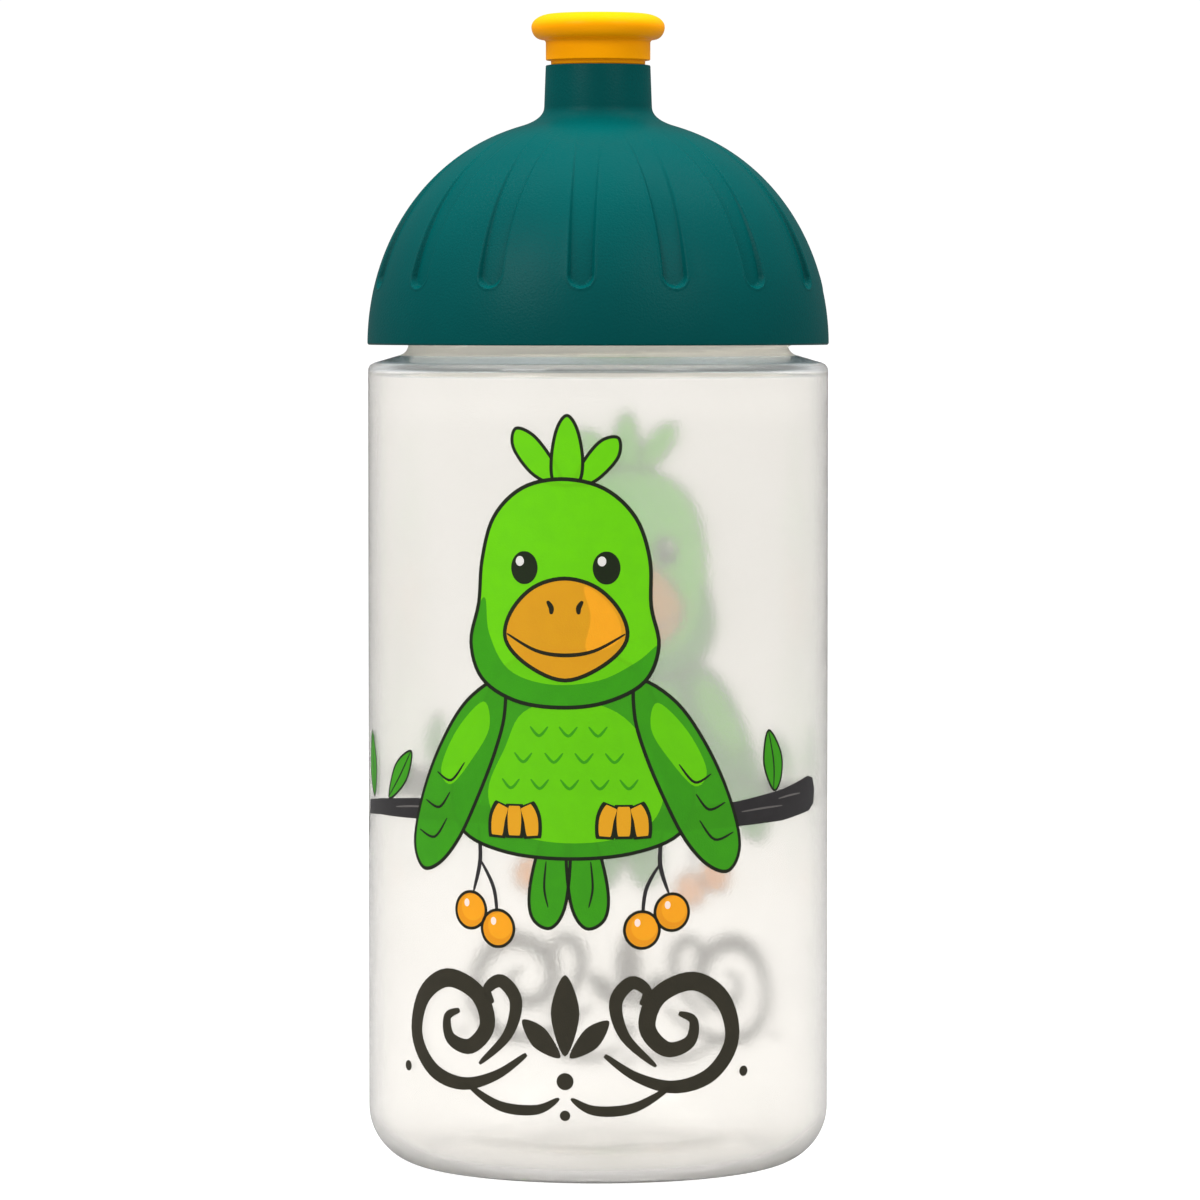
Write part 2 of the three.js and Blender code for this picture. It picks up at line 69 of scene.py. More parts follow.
BODY_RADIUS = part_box("bottle")[1].x / MM
LIP_Z = height_of("bottle", 1)
RIM_Z = height_of("cap_dome", 0)
TOWER_TOP_Z = height_of("cap_dome", 1)
MOUTH_TOP_Z = height_of("mouthpiece", 1)
STEM_END_Z = height_of("mouthpiece", 0)
GASKET_Z = height_of("cap_gasket", 0)
SPIDER_Z = height_of("valve_post", 0)
PLUG_TOP_Z = height_of("valve_post", 1)
RING_Z = (height_of("stem_oring", 0) + height_of("stem_oring", 1)) / 2
print("radius", round(BODY_RADIUS, 2), "lip", round(LIP_Z, 2), "rim", round(RIM_Z, 2))
print("tower", round(TOWER_TOP_Z, 2), "mouthpiece", round(STEM_END_Z, 2), round(MOUTH_TOP_Z, 2))

# %% [markdown]
# ## Small helpers for node trees
# A node tree built by hand in a script is long, because each node, value and link takes a line. One helper
# that adds a node, sets its options and connects its inputs in order keeps a formula readable. The same
# helper serves geometry trees and shader trees.

# %% Add a node with its inputs


def add_node(tree, kind, values=(), **options):
    """Add a node. Values are numbers or sockets, in the order of its inputs or by input name."""
    node = tree.nodes.new(kind)
    for option, value in options.items():
        setattr(node, option, value)
    pairs = values.items() if isinstance(values, dict) else enumerate(values)
    for key, value in pairs:
        if isinstance(value, bpy.types.NodeSocket):
            tree.links.new(value, node.inputs[key])
        elif value is not None:
            node.inputs[key].default_value = value
    return node


def work_out(tree, operation, *values):
    """One step of arithmetic as a Math node; gives its result's socket."""
    return add_node(tree, "ShaderNodeMath", values, operation=operation).outputs[0]


def join_xyz(tree, x, y, z):
    """A vector from three numbers or sockets."""
    return add_node(tree, "ShaderNodeCombineXYZ", [x, y, z]).outputs[0]


def ease_between(tree, value, start, end, low=0.0, high=1.0):
    """A soft step: low at start, high at end, with rounded corners."""
    return add_node(
        tree,
        "ShaderNodeMapRange",
        {"Value": value, "From Min": start, "From Max": end, "To Min": low, "To Max": high},
        interpolation_type="SMOOTHSTEP",
    ).outputs["Result"]


# %% Start a geometry tree with named inputs
SOCKETS = {
    "length": "NodeSocketFloat",
    "count": "NodeSocketInt",
    "finish": "NodeSocketMaterial",
}


def start_geometry_tree(name, inputs):
    """A new geometry tree with a mesh in and out and named inputs; gives the tree and its input sockets."""
    tree = bpy.data.node_groups.new(name, "GeometryNodeTree")
    tree.interface.new_socket("Geometry", in_out="INPUT", socket_type="NodeSocketGeometry")
    for title, kind in inputs.items():
        tree.interface.new_socket(title, in_out="INPUT", socket_type=SOCKETS[kind])
    tree.interface.new_socket("Geometry", in_out="OUTPUT", socket_type="NodeSocketGeometry")
    return tree, tree.nodes.new("NodeGroupInput").outputs


def copy_round(tree, geometry, count, first_angle=0.0):
    """Instances of a geometry, turned round the upright axis in even steps."""
    spots = add_node(tree, "GeometryNodePoints", {"Count": count}).outputs[0]
    number = tree.nodes.new("GeometryNodeInputIndex").outputs[0]
    step = work_out(tree, "DIVIDE", 2 * math.pi, count)
    spin = join_xyz(tree, 0.0, 0.0, work_out(tree, "MULTIPLY_ADD", number, step, first_angle))
    return add_node(
        tree, "GeometryNodeInstanceOnPoints", {"Points": spots, "Instance": geometry, "Rotation": spin}
    ).outputs[0]


def end_geometry_tree(tree, geometry, finish):
    """Real geometry instead of instances, with its material, as the tree's output."""
    real = add_node(tree, "GeometryNodeRealizeInstances", [geometry]).outputs[0]
    coloured = add_node(tree, "GeometryNodeSetMaterial", {"Geometry": real, "Material": finish})
    output = tree.nodes.new("NodeGroupOutput")
    tree.links.new(coloured.outputs[0], output.inputs[0])


# %% Run trees on a mesh and keep the result as a plain piece


def as_object(name, mesh):
    """An object for a mesh, in the scene, at the origin."""
    piece = bpy.data.objects.new(name, mesh)
    bpy.context.scene.collection.objects.link(piece)
    return piece


def use_tree(piece, tree, sizes):
    """Put a tree on a piece as a modifier, with its inputs set by the sockets' identifiers."""
    modifier = piece.modifiers.new(tree.name, "NODES")
    modifier.node_group = tree
    for item in tree.interface.items_tree:
        if item.item_type == "SOCKET" and item.name in sizes:
            modifier[item.identifier] = sizes[item.name]


SHARP_ANGLE = math.radians(32)


def settle(piece):
    """Turn a piece and its modifiers into one plain mesh, smooth but for its sharp edges."""
    bpy.context.view_layer.update()
    seen = piece.evaluated_get(bpy.context.evaluated_depsgraph_get())
    mesh = bpy.data.meshes.new_from_object(seen)
    piece.modifiers.clear()
    piece.data = mesh
    mesh.shade_smooth()
    mesh.set_sharp_from_angle(angle=SHARP_ANGLE)
    triangles = sum(len(face.vertices) - 2 for face in mesh.polygons)
    print(piece.name, "has", triangles, "triangles")
    return piece


# %% [markdown]
# ## Shared surface effects
# Three effects turn up on more than one plastic here, so each is a shader group with named inputs:
# the fine grain that a spark-eroded mould leaves, the slow drift of colour in a moulded pigment, and the
# dull, handled patches that a bottle gets in use. Each group gives only a height, a colour or a roughness,
# and the shader itself stays in each material.

# %% Start a shader group with named inputs and outputs
SHADER_SOCKETS = {"value": "NodeSocketFloat", "colour": "NodeSocketColor"}


def start_shader_group(name, inputs, outputs):
    """A new shader group; inputs are (title, kind, default) and outputs are (title, kind)."""
    group = bpy.data.node_groups.new(name, "ShaderNodeTree")
    for title, kind, default in inputs:
        socket = group.interface.new_socket(title, in_out="INPUT", socket_type=SHADER_SOCKETS[kind])
        socket.default_value = default
    for title, kind in outputs:
        group.interface.new_socket(title, in_out="OUTPUT", socket_type=SHADER_SOCKETS[kind])
    return group, group.nodes.new("NodeGroupInput").outputs, group.nodes.new("NodeGroupOutput").inputs


def object_place(group):
    """The socket that gives a point's place on its piece."""
    return group.nodes.new("ShaderNodeTexCoord").outputs["Object"]


def fine_scale(group, size):
    """The scale of a texture whose marks are a size in millimetres."""
    return work_out(group, "DIVIDE", 1 / MM, size)


def noise(group, place, size, detail):
    """Noise with patches of a size in millimetres."""
    values = {"Vector": place, "Scale": fine_scale(group, size), "Detail": detail}
    return add_node(group, "ShaderNodeTexNoise", values).outputs[0]


# %% Mould grain
mould_grain, given, result = start_shader_group(
    "mould_grain",
    [("Grain Size", "value", 0.3), ("Speck Size", "value", 1.2), ("Specks", "value", 0.3)],
    [("Height", "value"), ("Speck Mask", "value")],
)
place = object_place(mould_grain)
fine = noise(mould_grain, place, given["Grain Size"], 3.0)
speck_scale = fine_scale(mould_grain, given["Speck Size"])
cells = add_node(
    mould_grain, "ShaderNodeTexVoronoi", {"Vector": place, "Scale": speck_scale}
).outputs["Distance"]
specks = ease_between(mould_grain, cells, 0.16, 0.06)
lifted = work_out(mould_grain, "MULTIPLY", specks, given["Specks"])
mould_grain.links.new(work_out(mould_grain, "ADD", fine, lifted), result["Height"])
mould_grain.links.new(specks, result["Speck Mask"])
print("mould_grain has", len(mould_grain.nodes), "nodes")

# %% Pigment drift
pigment_drift, given, result = start_shader_group(
    "pigment_drift",
    [
        ("Colour", "colour", (0.5, 0.5, 0.5, 1)),
        ("Drift Colour", "colour", (0.4, 0.4, 0.4, 1)),
        ("Patch Size", "value", 20.0),
        ("Amount", "value", 0.5),
    ],
    [("Colour", "colour")],
)
patches = noise(pigment_drift, object_place(pigment_drift), given["Patch Size"], 5.0)
share = work_out(pigment_drift, "MULTIPLY", ease_between(pigment_drift, patches, 0.3, 0.7), given["Amount"])
mixed = add_node(pigment_drift, "ShaderNodeMix", data_type="RGBA")
pigment_drift.links.new(share, mixed.inputs["Factor"])
pigment_drift.links.new(given["Colour"], mixed.inputs[6])
pigment_drift.links.new(given["Drift Colour"], mixed.inputs[7])
pigment_drift.links.new(mixed.outputs[2], result["Colour"])
print("pigment_drift has", len(pigment_drift.nodes), "nodes")

# %% Handling wear
handling_wear, given, result = start_shader_group(
    "handling_wear",
    [("Roughness", "value", 0.4), ("Spread", "value", 0.1), ("Patch Size", "value", 15.0)],
    [("Roughness", "value")],
)
tall_place = add_node(
    handling_wear, "ShaderNodeMapping", {"Vector": object_place(handling_wear), "Scale": (1.0, 1.0, 0.35)}
).outputs[0]
smears = noise(handling_wear, tall_place, given["Patch Size"], 6.0)
swing = work_out(handling_wear, "MULTIPLY", work_out(handling_wear, "SUBTRACT", smears, 0.5), given["Spread"])
handling_wear.links.new(work_out(handling_wear, "ADD", given["Roughness"], swing), result["Roughness"])
print("handling_wear has", len(handling_wear.nodes), "nodes")

# %% [markdown]
# ## The plastics
# The bottle is natural low-density polyethylene: milky, and just clear enough to show the print on its far
# side as a soft shadow. The neck is thicker, so it is milkier, and the shoulder was stretched thinner in the
# mould, so it is clearer. The cap is the same kind of plastic with a strong teal pigment, and the mouthpiece
# has a yellow one. Seals are pale silicone.
#
# A frosted wall could be made with alpha, but alpha can't blur what is behind it. Here the wall is a real
# closed shell with transmission, and its roughness does the blurring. What doesn't pass straight through is
# scattered as white. Light also wanders inside a milky wall and comes out everywhere. Subsurface scattering
# would compute that, but it renders grainy through four surfaces, so a small even glow stands for it.

# %% Mix one plastic


def linear(red, green, blue):
    """A screen colour of 0 to 255 as the linear colour that a shader takes."""
    steps = [c / 255 for c in (red, green, blue)]
    return tuple(c / 12.92 if c <= 0.04045 else ((c + 0.055) / 1.055) ** 2.4 for c in steps) + (1.0,)


def plastic(name, colour, drift, roughness, spread, grain, bump, shine, patch=22.0, **fixed):
    """A moulded plastic: drifting pigment, handled roughness and mould grain; fixed sets plain sockets."""
    material = bpy.data.materials.new(name)
    material.use_nodes = True
    tree = material.node_tree
    shader = tree.nodes["Principled BSDF"]
    pigment = add_node(tree, "ShaderNodeGroup", node_tree=pigment_drift)
    pigment.inputs["Colour"].default_value = linear(*colour)
    pigment.inputs["Drift Colour"].default_value = linear(*drift)
    pigment.inputs["Patch Size"].default_value = patch
    tree.links.new(pigment.outputs["Colour"], shader.inputs["Base Color"])
    wear = add_node(tree, "ShaderNodeGroup", node_tree=handling_wear)
    wear.inputs["Roughness"].default_value = roughness
    wear.inputs["Spread"].default_value = spread
    tree.links.new(wear.outputs["Roughness"], shader.inputs["Roughness"])
    surface = add_node(tree, "ShaderNodeGroup", node_tree=mould_grain)
    surface.inputs["Grain Size"].default_value = grain
    lift = add_node(tree, "ShaderNodeBump", {"Strength": bump, "Distance": 0.0001})
    tree.links.new(surface.outputs["Height"], lift.inputs["Height"])
    tree.links.new(lift.outputs["Normal"], shader.inputs["Normal"])
    shader.inputs["Specular IOR Level"].default_value = shine
    for socket, value in fixed.items():
        shader.inputs[socket.replace("_", " ")].default_value = value
    return material


# %% Mix the plastics
PLASTIC_IOR = 1.45
frosted = plastic(
    "frosted_plastic", (254, 252, 249), (250, 248, 244),
    roughness=0.13, spread=0.04, grain=0.5, bump=0.1, shine=0.35,
    Transmission_Weight=0.87, IOR=PLASTIC_IOR,
    Emission_Color=linear(254, 251, 248), Emission_Strength=0.048,
)
clearer = plastic(
    "shoulder_plastic", (216, 230, 237), (206, 222, 231),
    roughness=0.2, spread=0.04, grain=0.5, bump=0.1, shine=0.3,
    Transmission_Weight=0.93, IOR=PLASTIC_IOR,
)
milky = plastic(
    "neck_plastic", (246, 242, 233), (240, 236, 226),
    roughness=0.3, spread=0.06, grain=0.5, bump=0.1, shine=0.35,
    Transmission_Weight=0.5, IOR=PLASTIC_IOR,
    Emission_Color=linear(254, 251, 243), Emission_Strength=0.13,
)
teal = plastic(
    "cap_plastic", (0, 79, 78), (0, 72, 72), roughness=0.38, spread=0.14, grain=0.35, bump=0.5, shine=0.06
)
dark_teal = plastic(
    "valve_plastic", (0, 70, 72), (0, 64, 66), roughness=0.45, spread=0.12, grain=0.35, bump=0.4, shine=0.1
)
# The mouthpiece's weak orange emission is a painted glow: it brightens the yellow as more light would, though
# the plastic is no lamp.
yellow = plastic(
    "mouthpiece_plastic", (252, 166, 0), (248, 157, 0),
    roughness=0.36, spread=0.1, grain=0.4, bump=0.2, shine=0.06,
    Emission_Color=linear(255, 160, 0), Emission_Strength=0.14,
)
silicone = plastic(
    "silicone", (226, 225, 218), (214, 213, 206), roughness=0.6, spread=0.1, grain=0.3, bump=0.2, shine=0.3
)
print("plastics:", [m.name for m in (frosted, clearer, milky, teal, dark_teal, yellow, silicone)])

# %% [markdown]
# ## Turning a profile
# A turned piece could be made with the Screw modifier on a half profile. It is written out here instead,
# because the caller then knows which row of points is which, and can mark rows, such as those that the
# thread will lift, or let the columns follow a flute's edges. A profile is a list of (radius, height) in mm
# that goes round the wall with the plastic on its left, so all faces point out.

# %% Curves for profiles


def quarter(start, corner, end, steps):
    """Points on a quarter ellipse from start to end that bulges towards the corner."""
    start, corner, end = np.array(start), np.array(corner), np.array(end)
    centre = start + end - corner
    turns = np.linspace(0, math.pi / 2, steps + 1)
    return [tuple(centre + (start - centre) * math.cos(t) + (end - centre) * math.sin(t)) for t in turns]


def fillet(start, corner, end, steps=8):
    """Points on a soft bend between two stretches that would meet at the corner."""
    start, corner, end = np.array(start), np.array(corner), np.array(end)
    shares = np.linspace(0, 1, steps + 1)
    return [tuple((1 - s) ** 2 * start + 2 * s * (1 - s) * corner + s * s * end) for s in shares]


def ramp(start, end, step):
    """Points on a straight stretch, no further apart than a step, without its first point."""
    start, end = np.array(start), np.array(end)
    count = max(1, math.ceil(np.linalg.norm(end - start) / step))
    return [tuple(start + (end - start) * i / count) for i in range(1, count + 1)]


def broken(points, radius, steps=3):
    """Round every corner of a closed profile slightly, as a mould's edges are."""
    rounded = []
    for i, corner in enumerate(points):
        before, after = np.array(points[i - 1]), np.array(points[(i + 1) % len(points)])
        here = np.array(corner)
        back, on = before - here, after - here
        reach = min(radius, 0.4 * np.linalg.norm(back), 0.4 * np.linalg.norm(on))
        start = here + back / np.linalg.norm(back) * reach
        end = here + on / np.linalg.norm(on) * reach
        rounded += fillet(start, here, end, steps)
    return rounded


# %% Turn a profile into a mesh


def turn(name, profile, columns, threaded=()):
    """A closed mesh of revolution from (radius, height) points; threaded marks a range of rows."""
    turns = np.linspace(0, 2 * math.pi, columns, endpoint=False)
    points, rows = [], []
    for radius, height in profile:
        first = len(points)
        if radius < 1e-6:
            points.append((0, 0, height * MM))
            rows.append([first] * columns)
        else:
            points += [(radius * math.cos(t) * MM, radius * math.sin(t) * MM, height * MM) for t in turns]
            rows.append(list(range(first, first + columns)))
    pairs = list(zip(rows, rows[1:]))
    if profile[0][0] > 1e-6:
        pairs.append((rows[-1], rows[0]))
    faces = []
    for low, high in pairs:
        for i in range(columns):
            j = (i + 1) % columns
            loop = list(dict.fromkeys((low[i], low[j], high[j], high[i])))
            if len(loop) > 2:
                faces.append(loop)
    mesh = bpy.data.meshes.new(name)
    mesh.from_pydata(points, [], faces)
    marks = np.zeros(len(points), np.float32)
    for row in threaded:
        marks[rows[row]] = 1
    mesh.attributes.new("threaded", "FLOAT", "POINT").data.foreach_set("value", marks)
    return as_object(name, mesh)


# %% [markdown]
# ## The screw thread
# The bottle's neck and the cap's skirt carry the two halves of one screw: a low ridge with sloping flanks
# that climbs 5 mm a turn and fades in and out at its ends. A ridge could be swept along a helix and joined
# to the wall, but joining cuts ragged edges into a clear plastic. Here the tree lifts the wall's own points.
# It works out how far each point is from the helix's middle line, and lifts it by the ridge's section there.
# One tree serves both halves: side 1 lifts outwards and side -1 inwards.

# %% Build the thread tree
thread_tree, given = start_geometry_tree(
    "wind_thread",
    {
        "Wall Radius": "length",
        "Lead": "length",
        "Start Height": "length",
        "End Height": "length",
        "Start Angle": "length",
        "Ridge Height": "length",
        "Root Half Width": "length",
        "Crest Half Width": "length",
        "Run Out": "length",
        "Side": "length",
        "Finish": "finish",
    },
)
place = thread_tree.nodes.new("GeometryNodeInputPosition").outputs[0]
x, y, z = add_node(thread_tree, "ShaderNodeSeparateXYZ", [place]).outputs
angle = work_out(thread_tree, "ARCTAN2", y, x)
from_start = work_out(thread_tree, "SUBTRACT", angle, given["Start Angle"])
share = work_out(thread_tree, "FRACT", work_out(thread_tree, "DIVIDE", from_start, 2 * math.pi))
first_height = work_out(thread_tree, "MULTIPLY_ADD", share, given["Lead"], given["Start Height"])
above = work_out(thread_tree, "DIVIDE", work_out(thread_tree, "SUBTRACT", z, first_height), given["Lead"])
whole_turns = work_out(thread_tree, "ROUND", above)
middle = work_out(thread_tree, "MULTIPLY_ADD", whole_turns, given["Lead"], first_height)
turned = work_out(thread_tree, "MULTIPLY", work_out(thread_tree, "ADD", share, whole_turns), 2 * math.pi)
length = work_out(thread_tree, "SUBTRACT", given["End Height"], given["Start Height"])
sweep = work_out(
    thread_tree, "MULTIPLY", work_out(thread_tree, "DIVIDE", length, given["Lead"]), 2 * math.pi
)
to_end = work_out(thread_tree, "MINIMUM", turned, work_out(thread_tree, "SUBTRACT", sweep, turned))
grown = ease_between(thread_tree, to_end, 0.0, given["Run Out"])
off_middle = work_out(thread_tree, "ABSOLUTE", work_out(thread_tree, "SUBTRACT", z, middle))
off_middle = work_out(thread_tree, "DIVIDE", off_middle, work_out(thread_tree, "MAXIMUM", grown, 0.2))
section = ease_between(thread_tree, off_middle, given["Root Half Width"], given["Crest Half Width"])
stand = work_out(thread_tree, "MULTIPLY", section, grown)
stand = work_out(thread_tree, "MULTIPLY", stand, given["Ridge Height"])
radius = work_out(thread_tree, "SQRT", work_out(
    thread_tree, "MULTIPLY_ADD", x, x, work_out(thread_tree, "MULTIPLY", y, y)
))
lifted = work_out(thread_tree, "MULTIPLY_ADD", given["Wall Radius"], given["Side"], stand)
lifted = work_out(thread_tree, "MAXIMUM", lifted, work_out(thread_tree, "MULTIPLY", radius, given["Side"]))
scale = work_out(thread_tree, "DIVIDE", work_out(thread_tree, "MULTIPLY", lifted, given["Side"]), radius)
moved = join_xyz(
    thread_tree, work_out(thread_tree, "MULTIPLY", x, scale), work_out(thread_tree, "MULTIPLY", y, scale), z
)
marked = add_node(thread_tree, "GeometryNodeInputNamedAttribute", {"Name": "threaded"}, data_type="FLOAT")
wound = add_node(
    thread_tree,
    "GeometryNodeSetPosition",
    {
        "Geometry": given["Geometry"],
        "Selection": work_out(thread_tree, "GREATER_THAN", marked.outputs[0], 0.5),
        "Position": moved,
    },
).outputs[0]
end_geometry_tree(thread_tree, wound, given["Finish"])
print("wind_thread has", len(thread_tree.nodes), "nodes")

# %% Give both halves the same ridge
LEAD = 5.0
THREAD_START = math.radians(-150)
THREAD_ROOM = 3.0


def thread_sizes(wall, start, end, start_angle, side, finish):
    """The thread tree's inputs for one wall; its radius and heights are in mm."""
    return {
        "Wall Radius": wall * MM,
        "Lead": LEAD * MM,
        "Start Height": start * MM,
        "End Height": end * MM,
        "Start Angle": start_angle,
        "Ridge Height": 1.2 * MM,
        "Root Half Width": 1.3 * MM,
        "Crest Half Width": 0.7 * MM,
        "Run Out": math.radians(25),
        "Side": side,
        "Finish": finish,
    }


# %% [markdown]
# ## The bottle
# The real bottle is blown from one tube of soft plastic inside a mould, so its wall is thin and even, its
# base is pushed up into a shallow dish that stands on a ring, and the neck keeps the thread. It is one
# closed shell, inside and outside, so light bends through it as it does through the real wall. The outside
# keeps a tenth of a millimetre free for the layers of ink.

# %% Draw the bottle's profile
PRINT_ROOM = 0.1
OUTSIDE = BODY_RADIUS - PRINT_ROOM
WALL = 1.1
INSIDE = BODY_RADIUS - WALL
NECK = 29.6
NECK_BORE = 28.1
NECK_BORE_FOOT = 126.0
LIP_EDGE = 0.6
BASE = 1.5
HEEL = 9.0
SHOULDER_Z = 124.8
SLOPE = 0.29
FOOT_OUTER = OUTSIDE - HEEL
FOOT_INNER = FOOT_OUTER - 2.5
DISH = FOOT_INNER - 5.5


def shoulder(radius):
    """Height of the shoulder's outside at a radius."""
    return SHOULDER_Z + (BODY_RADIUS - radius) * SLOPE


def under_shoulder(radius):
    """Height of the shoulder's inside at a radius."""
    return shoulder(radius) - WALL


def dish(radius, wall=0.0):
    """Height of the pushed-up base at a radius."""
    return 2.6 + 0.9 * (1 - (radius / DISH) ** 2) + wall


underside = [(r, dish(r)) for r in np.linspace(0, DISH - 1, 9)]
underside += fillet((DISH - 1, dish(DISH - 1)), (DISH + 1, 2.5), (FOOT_INNER - 2.75, 1.3))[1:]
underside += fillet((FOOT_INNER - 1, 0.47), (FOOT_INNER, 0), (FOOT_INNER + 1, 0), 5)
side = quarter((FOOT_OUTER, 0), (OUTSIDE, 0), (OUTSIDE, HEEL), 20)
side += ramp((OUTSIDE, HEEL), (OUTSIDE, SHOULDER_Z - 1), 6)
side += fillet((OUTSIDE, SHOULDER_Z - 1), (OUTSIDE, SHOULDER_Z), (OUTSIDE - 1, shoulder(OUTSIDE - 1)))[1:]
neck_foot = (NECK + 1.5, shoulder(NECK + 1.5))
neck_rise = (NECK, shoulder(NECK) + 1.5)
cone = ramp((OUTSIDE - 1, shoulder(OUTSIDE - 1)), neck_foot, 0.5)
neck = fillet(neck_foot, (NECK, shoulder(NECK)), neck_rise, 9)[1:]
neck += ramp(neck_rise, (NECK, LIP_Z - LIP_EDGE), 0.19)
first_threaded = len(underside) + len(side) + len(cone) - 3
last_threaded = len(underside) + len(side) + len(cone) + len(neck)
lip = fillet((NECK, LIP_Z - LIP_EDGE), (NECK, LIP_Z), (NECK - LIP_EDGE, LIP_Z), 4)[1:]
lip += fillet((NECK_BORE + 0.4, LIP_Z), (NECK_BORE, LIP_Z), (NECK_BORE, LIP_Z - 0.4), 4)
inner_foot = (NECK_BORE + 3, under_shoulder(NECK_BORE + 3))
inner_edge = (INSIDE, SHOULDER_Z - 2.1)
inside = fillet((NECK_BORE, NECK_BORE_FOOT + 2.5), (NECK_BORE, NECK_BORE_FOOT), inner_foot)
inside += fillet((INSIDE - 1, under_shoulder(INSIDE - 1)), (INSIDE, under_shoulder(INSIDE)), inner_edge)
inside += ramp(inner_edge, (INSIDE, HEEL), 8)
inside += quarter((INSIDE, HEEL), (INSIDE, BASE), (FOOT_OUTER, BASE), 16)[1:]
inside += fillet((FOOT_INNER + 1, BASE), (FOOT_INNER, BASE), (FOOT_INNER - 1, BASE + 0.47), 5)
inside += fillet((FOOT_INNER - 2.75, BASE + 1.3), (DISH + 1, BASE + 2.5), (DISH - 1, dish(DISH - 1, BASE)))
inside += [(r, dish(r, BASE)) for r in np.linspace(DISH - 3, 0, 8)]
bottle_profile = underside + side + cone + neck + lip + inside
print("the bottle's profile has", len(bottle_profile), "points")

# %% Turn the bottle and wind its thread
neck_start = shoulder(NECK) + 0.15
neck_rows = range(first_threaded, last_threaded)
bottle_wall = turn("bottle_wall", bottle_profile, columns=192, threaded=neck_rows)
outer_thread = thread_sizes(NECK, neck_start, LIP_Z - THREAD_ROOM, THREAD_START, 1.0, frosted)
use_tree(bottle_wall, thread_tree, outer_thread)
settle(bottle_wall)

# %% Give the neck and the shoulder their own plastics
bottle_wall.data.materials.append(milky)
bottle_wall.data.materials.append(clearer)
MILKY, CLEARER = 1, 2
for face in bottle_wall.data.polygons:
    x, y, z = face.center / MM
    out = math.hypot(x, y)
    if z > under_shoulder(NECK + 1) and out < NECK + 1.6:
        face.material_index = MILKY
    elif z > SHOULDER_Z - WALL and out < BODY_RADIUS - 0.8:
        face.material_index = CLEARER
kinds = [face.material_index for face in bottle_wall.data.polygons]
print("milky faces:", kinds.count(MILKY), "clearer faces:", kinds.count(CLEARER))
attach(bottle_wall, "bottle")
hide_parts("bottle")

# %% [markdown]
# ## The dome cap
# The cap is one moulding: a dome with 15 flutes for grip, the tower that the mouthpiece slides in, and
# inside it the seat for the gasket, the threaded skirt and the boss under the tower. The flutes could be cut
# with a Boolean, but a dome made of long curved rows would come out scratched at every cut edge. Instead one
# sector of 24 degrees is built with its columns laid along the flute's edges and its rows packed at the
# flute's round foot. A tree then repeats the sector 15 times and welds the seams.

# %% The dome's rule and the flute's depth
DOME = 35.55
FULLNESS = 2.27
FLUTES = 15
FLUTE_HALF = 2.0
FLUTE_FOOT = 8.7
FLUTE_TOP = DOME - 4.25
FLUTE_DEPTH = 0.85
FLUTE_FLANK = 0.42
FLUTE_LIP = 0.08
FLUTE_ANGLE = math.radians(-94.3)


def dome_radius(height, radius=BODY_RADIUS, top=DOME):
    """Radius of the dome at a height over the rim: a superellipse, fuller than a ball."""
    return radius * max(0.0, 1 - (height / top) ** 2) ** (1 / FULLNESS)


def dome_height(radius, full=BODY_RADIUS, top=DOME):
    """Height of the dome over the rim at a radius."""
    return top * math.sqrt(1 - (radius / full) ** FULLNESS)


def flute_depth(across, height):
    """How deep the flute is at a distance from its middle line and a height over the rim."""
    down = min(0.0, height - FLUTE_FOOT - FLUTE_HALF)
    inside_edge = FLUTE_HALF - math.hypot(across, down)
    share = min(1.0, max(0.0, (inside_edge + 0.07) / FLUTE_FLANK))
    fade = min(1.0, max(0.0, (FLUTE_TOP + 1.5 - height) / (FLUTE_TOP - FLUTE_FOOT)))
    lip = FLUTE_LIP * math.exp(-(((inside_edge + 0.2) / 0.16) ** 2))
    return fade**0.6 * (FLUTE_DEPTH * share * share * (3 - 2 * share) - lip)


# %% Draw the cap's profile
TOWER = 8.15
TOWER_FOOT = TOWER + 0.25
FILLET_RUN = 3.6
FILLET_RISE = 2.0
BORE = 7.2
BOSS = 9.7
BOSS_BORE = 8.0
SKIRT = 32.8
SKIRT_BORE = 31.2
SKIRT_Z = RIM_Z + 0.7
SEAT_EDGE = 27.0
SEAT_Z = GASKET_Z + 1.5
SEAT_TOP = SEAT_Z + 1.6
LEDGE_Z = TOWER_TOP_Z - 9.5
BOSS_END_Z = TOWER_TOP_Z - 18
INNER = BODY_RADIUS - 1.6
INNER_TOP = DOME - 1.6
fillet_start = (TOWER_FOOT + FILLET_RUN, RIM_Z + dome_height(TOWER_FOOT + FILLET_RUN))
fillet_slope = dome_height(fillet_start[0] - 0.05) - dome_height(fillet_start[0] + 0.05)
tower_foot = fillet_start[1] + FILLET_RUN * fillet_slope / 0.1
heights = list(np.linspace(0.25, 7.8, 12)) + list(np.linspace(7.95, 11.25, 23))
rest = np.linspace(math.asin(11.5 / DOME), math.asin((fillet_start[1] - RIM_Z) / DOME), 43)
heights += [DOME * math.sin(t) for t in rest]
dome_outside = [(BODY_RADIUS - 0.2, RIM_Z)] + [(dome_radius(h), RIM_Z + h) for h in heights]
fillet_end = (TOWER_FOOT, tower_foot + FILLET_RISE)
tower_outside = fillet(fillet_start, (TOWER_FOOT, tower_foot), fillet_end, 12)[1:]
tower_edge = TOWER_TOP_Z - 0.2
tower_outside += fillet((TOWER + 0.02, tower_edge), (TOWER, TOWER_TOP_Z), (TOWER - 0.2, TOWER_TOP_Z), 3)
tower_inside = fillet((BORE + 0.2, TOWER_TOP_Z), (BORE, TOWER_TOP_Z), (BORE, tower_edge), 3)
tower_inside += [(BORE, LEDGE_Z), (BOSS_BORE, LEDGE_Z), (BOSS_BORE, BOSS_END_Z), (BOSS, BOSS_END_Z)]


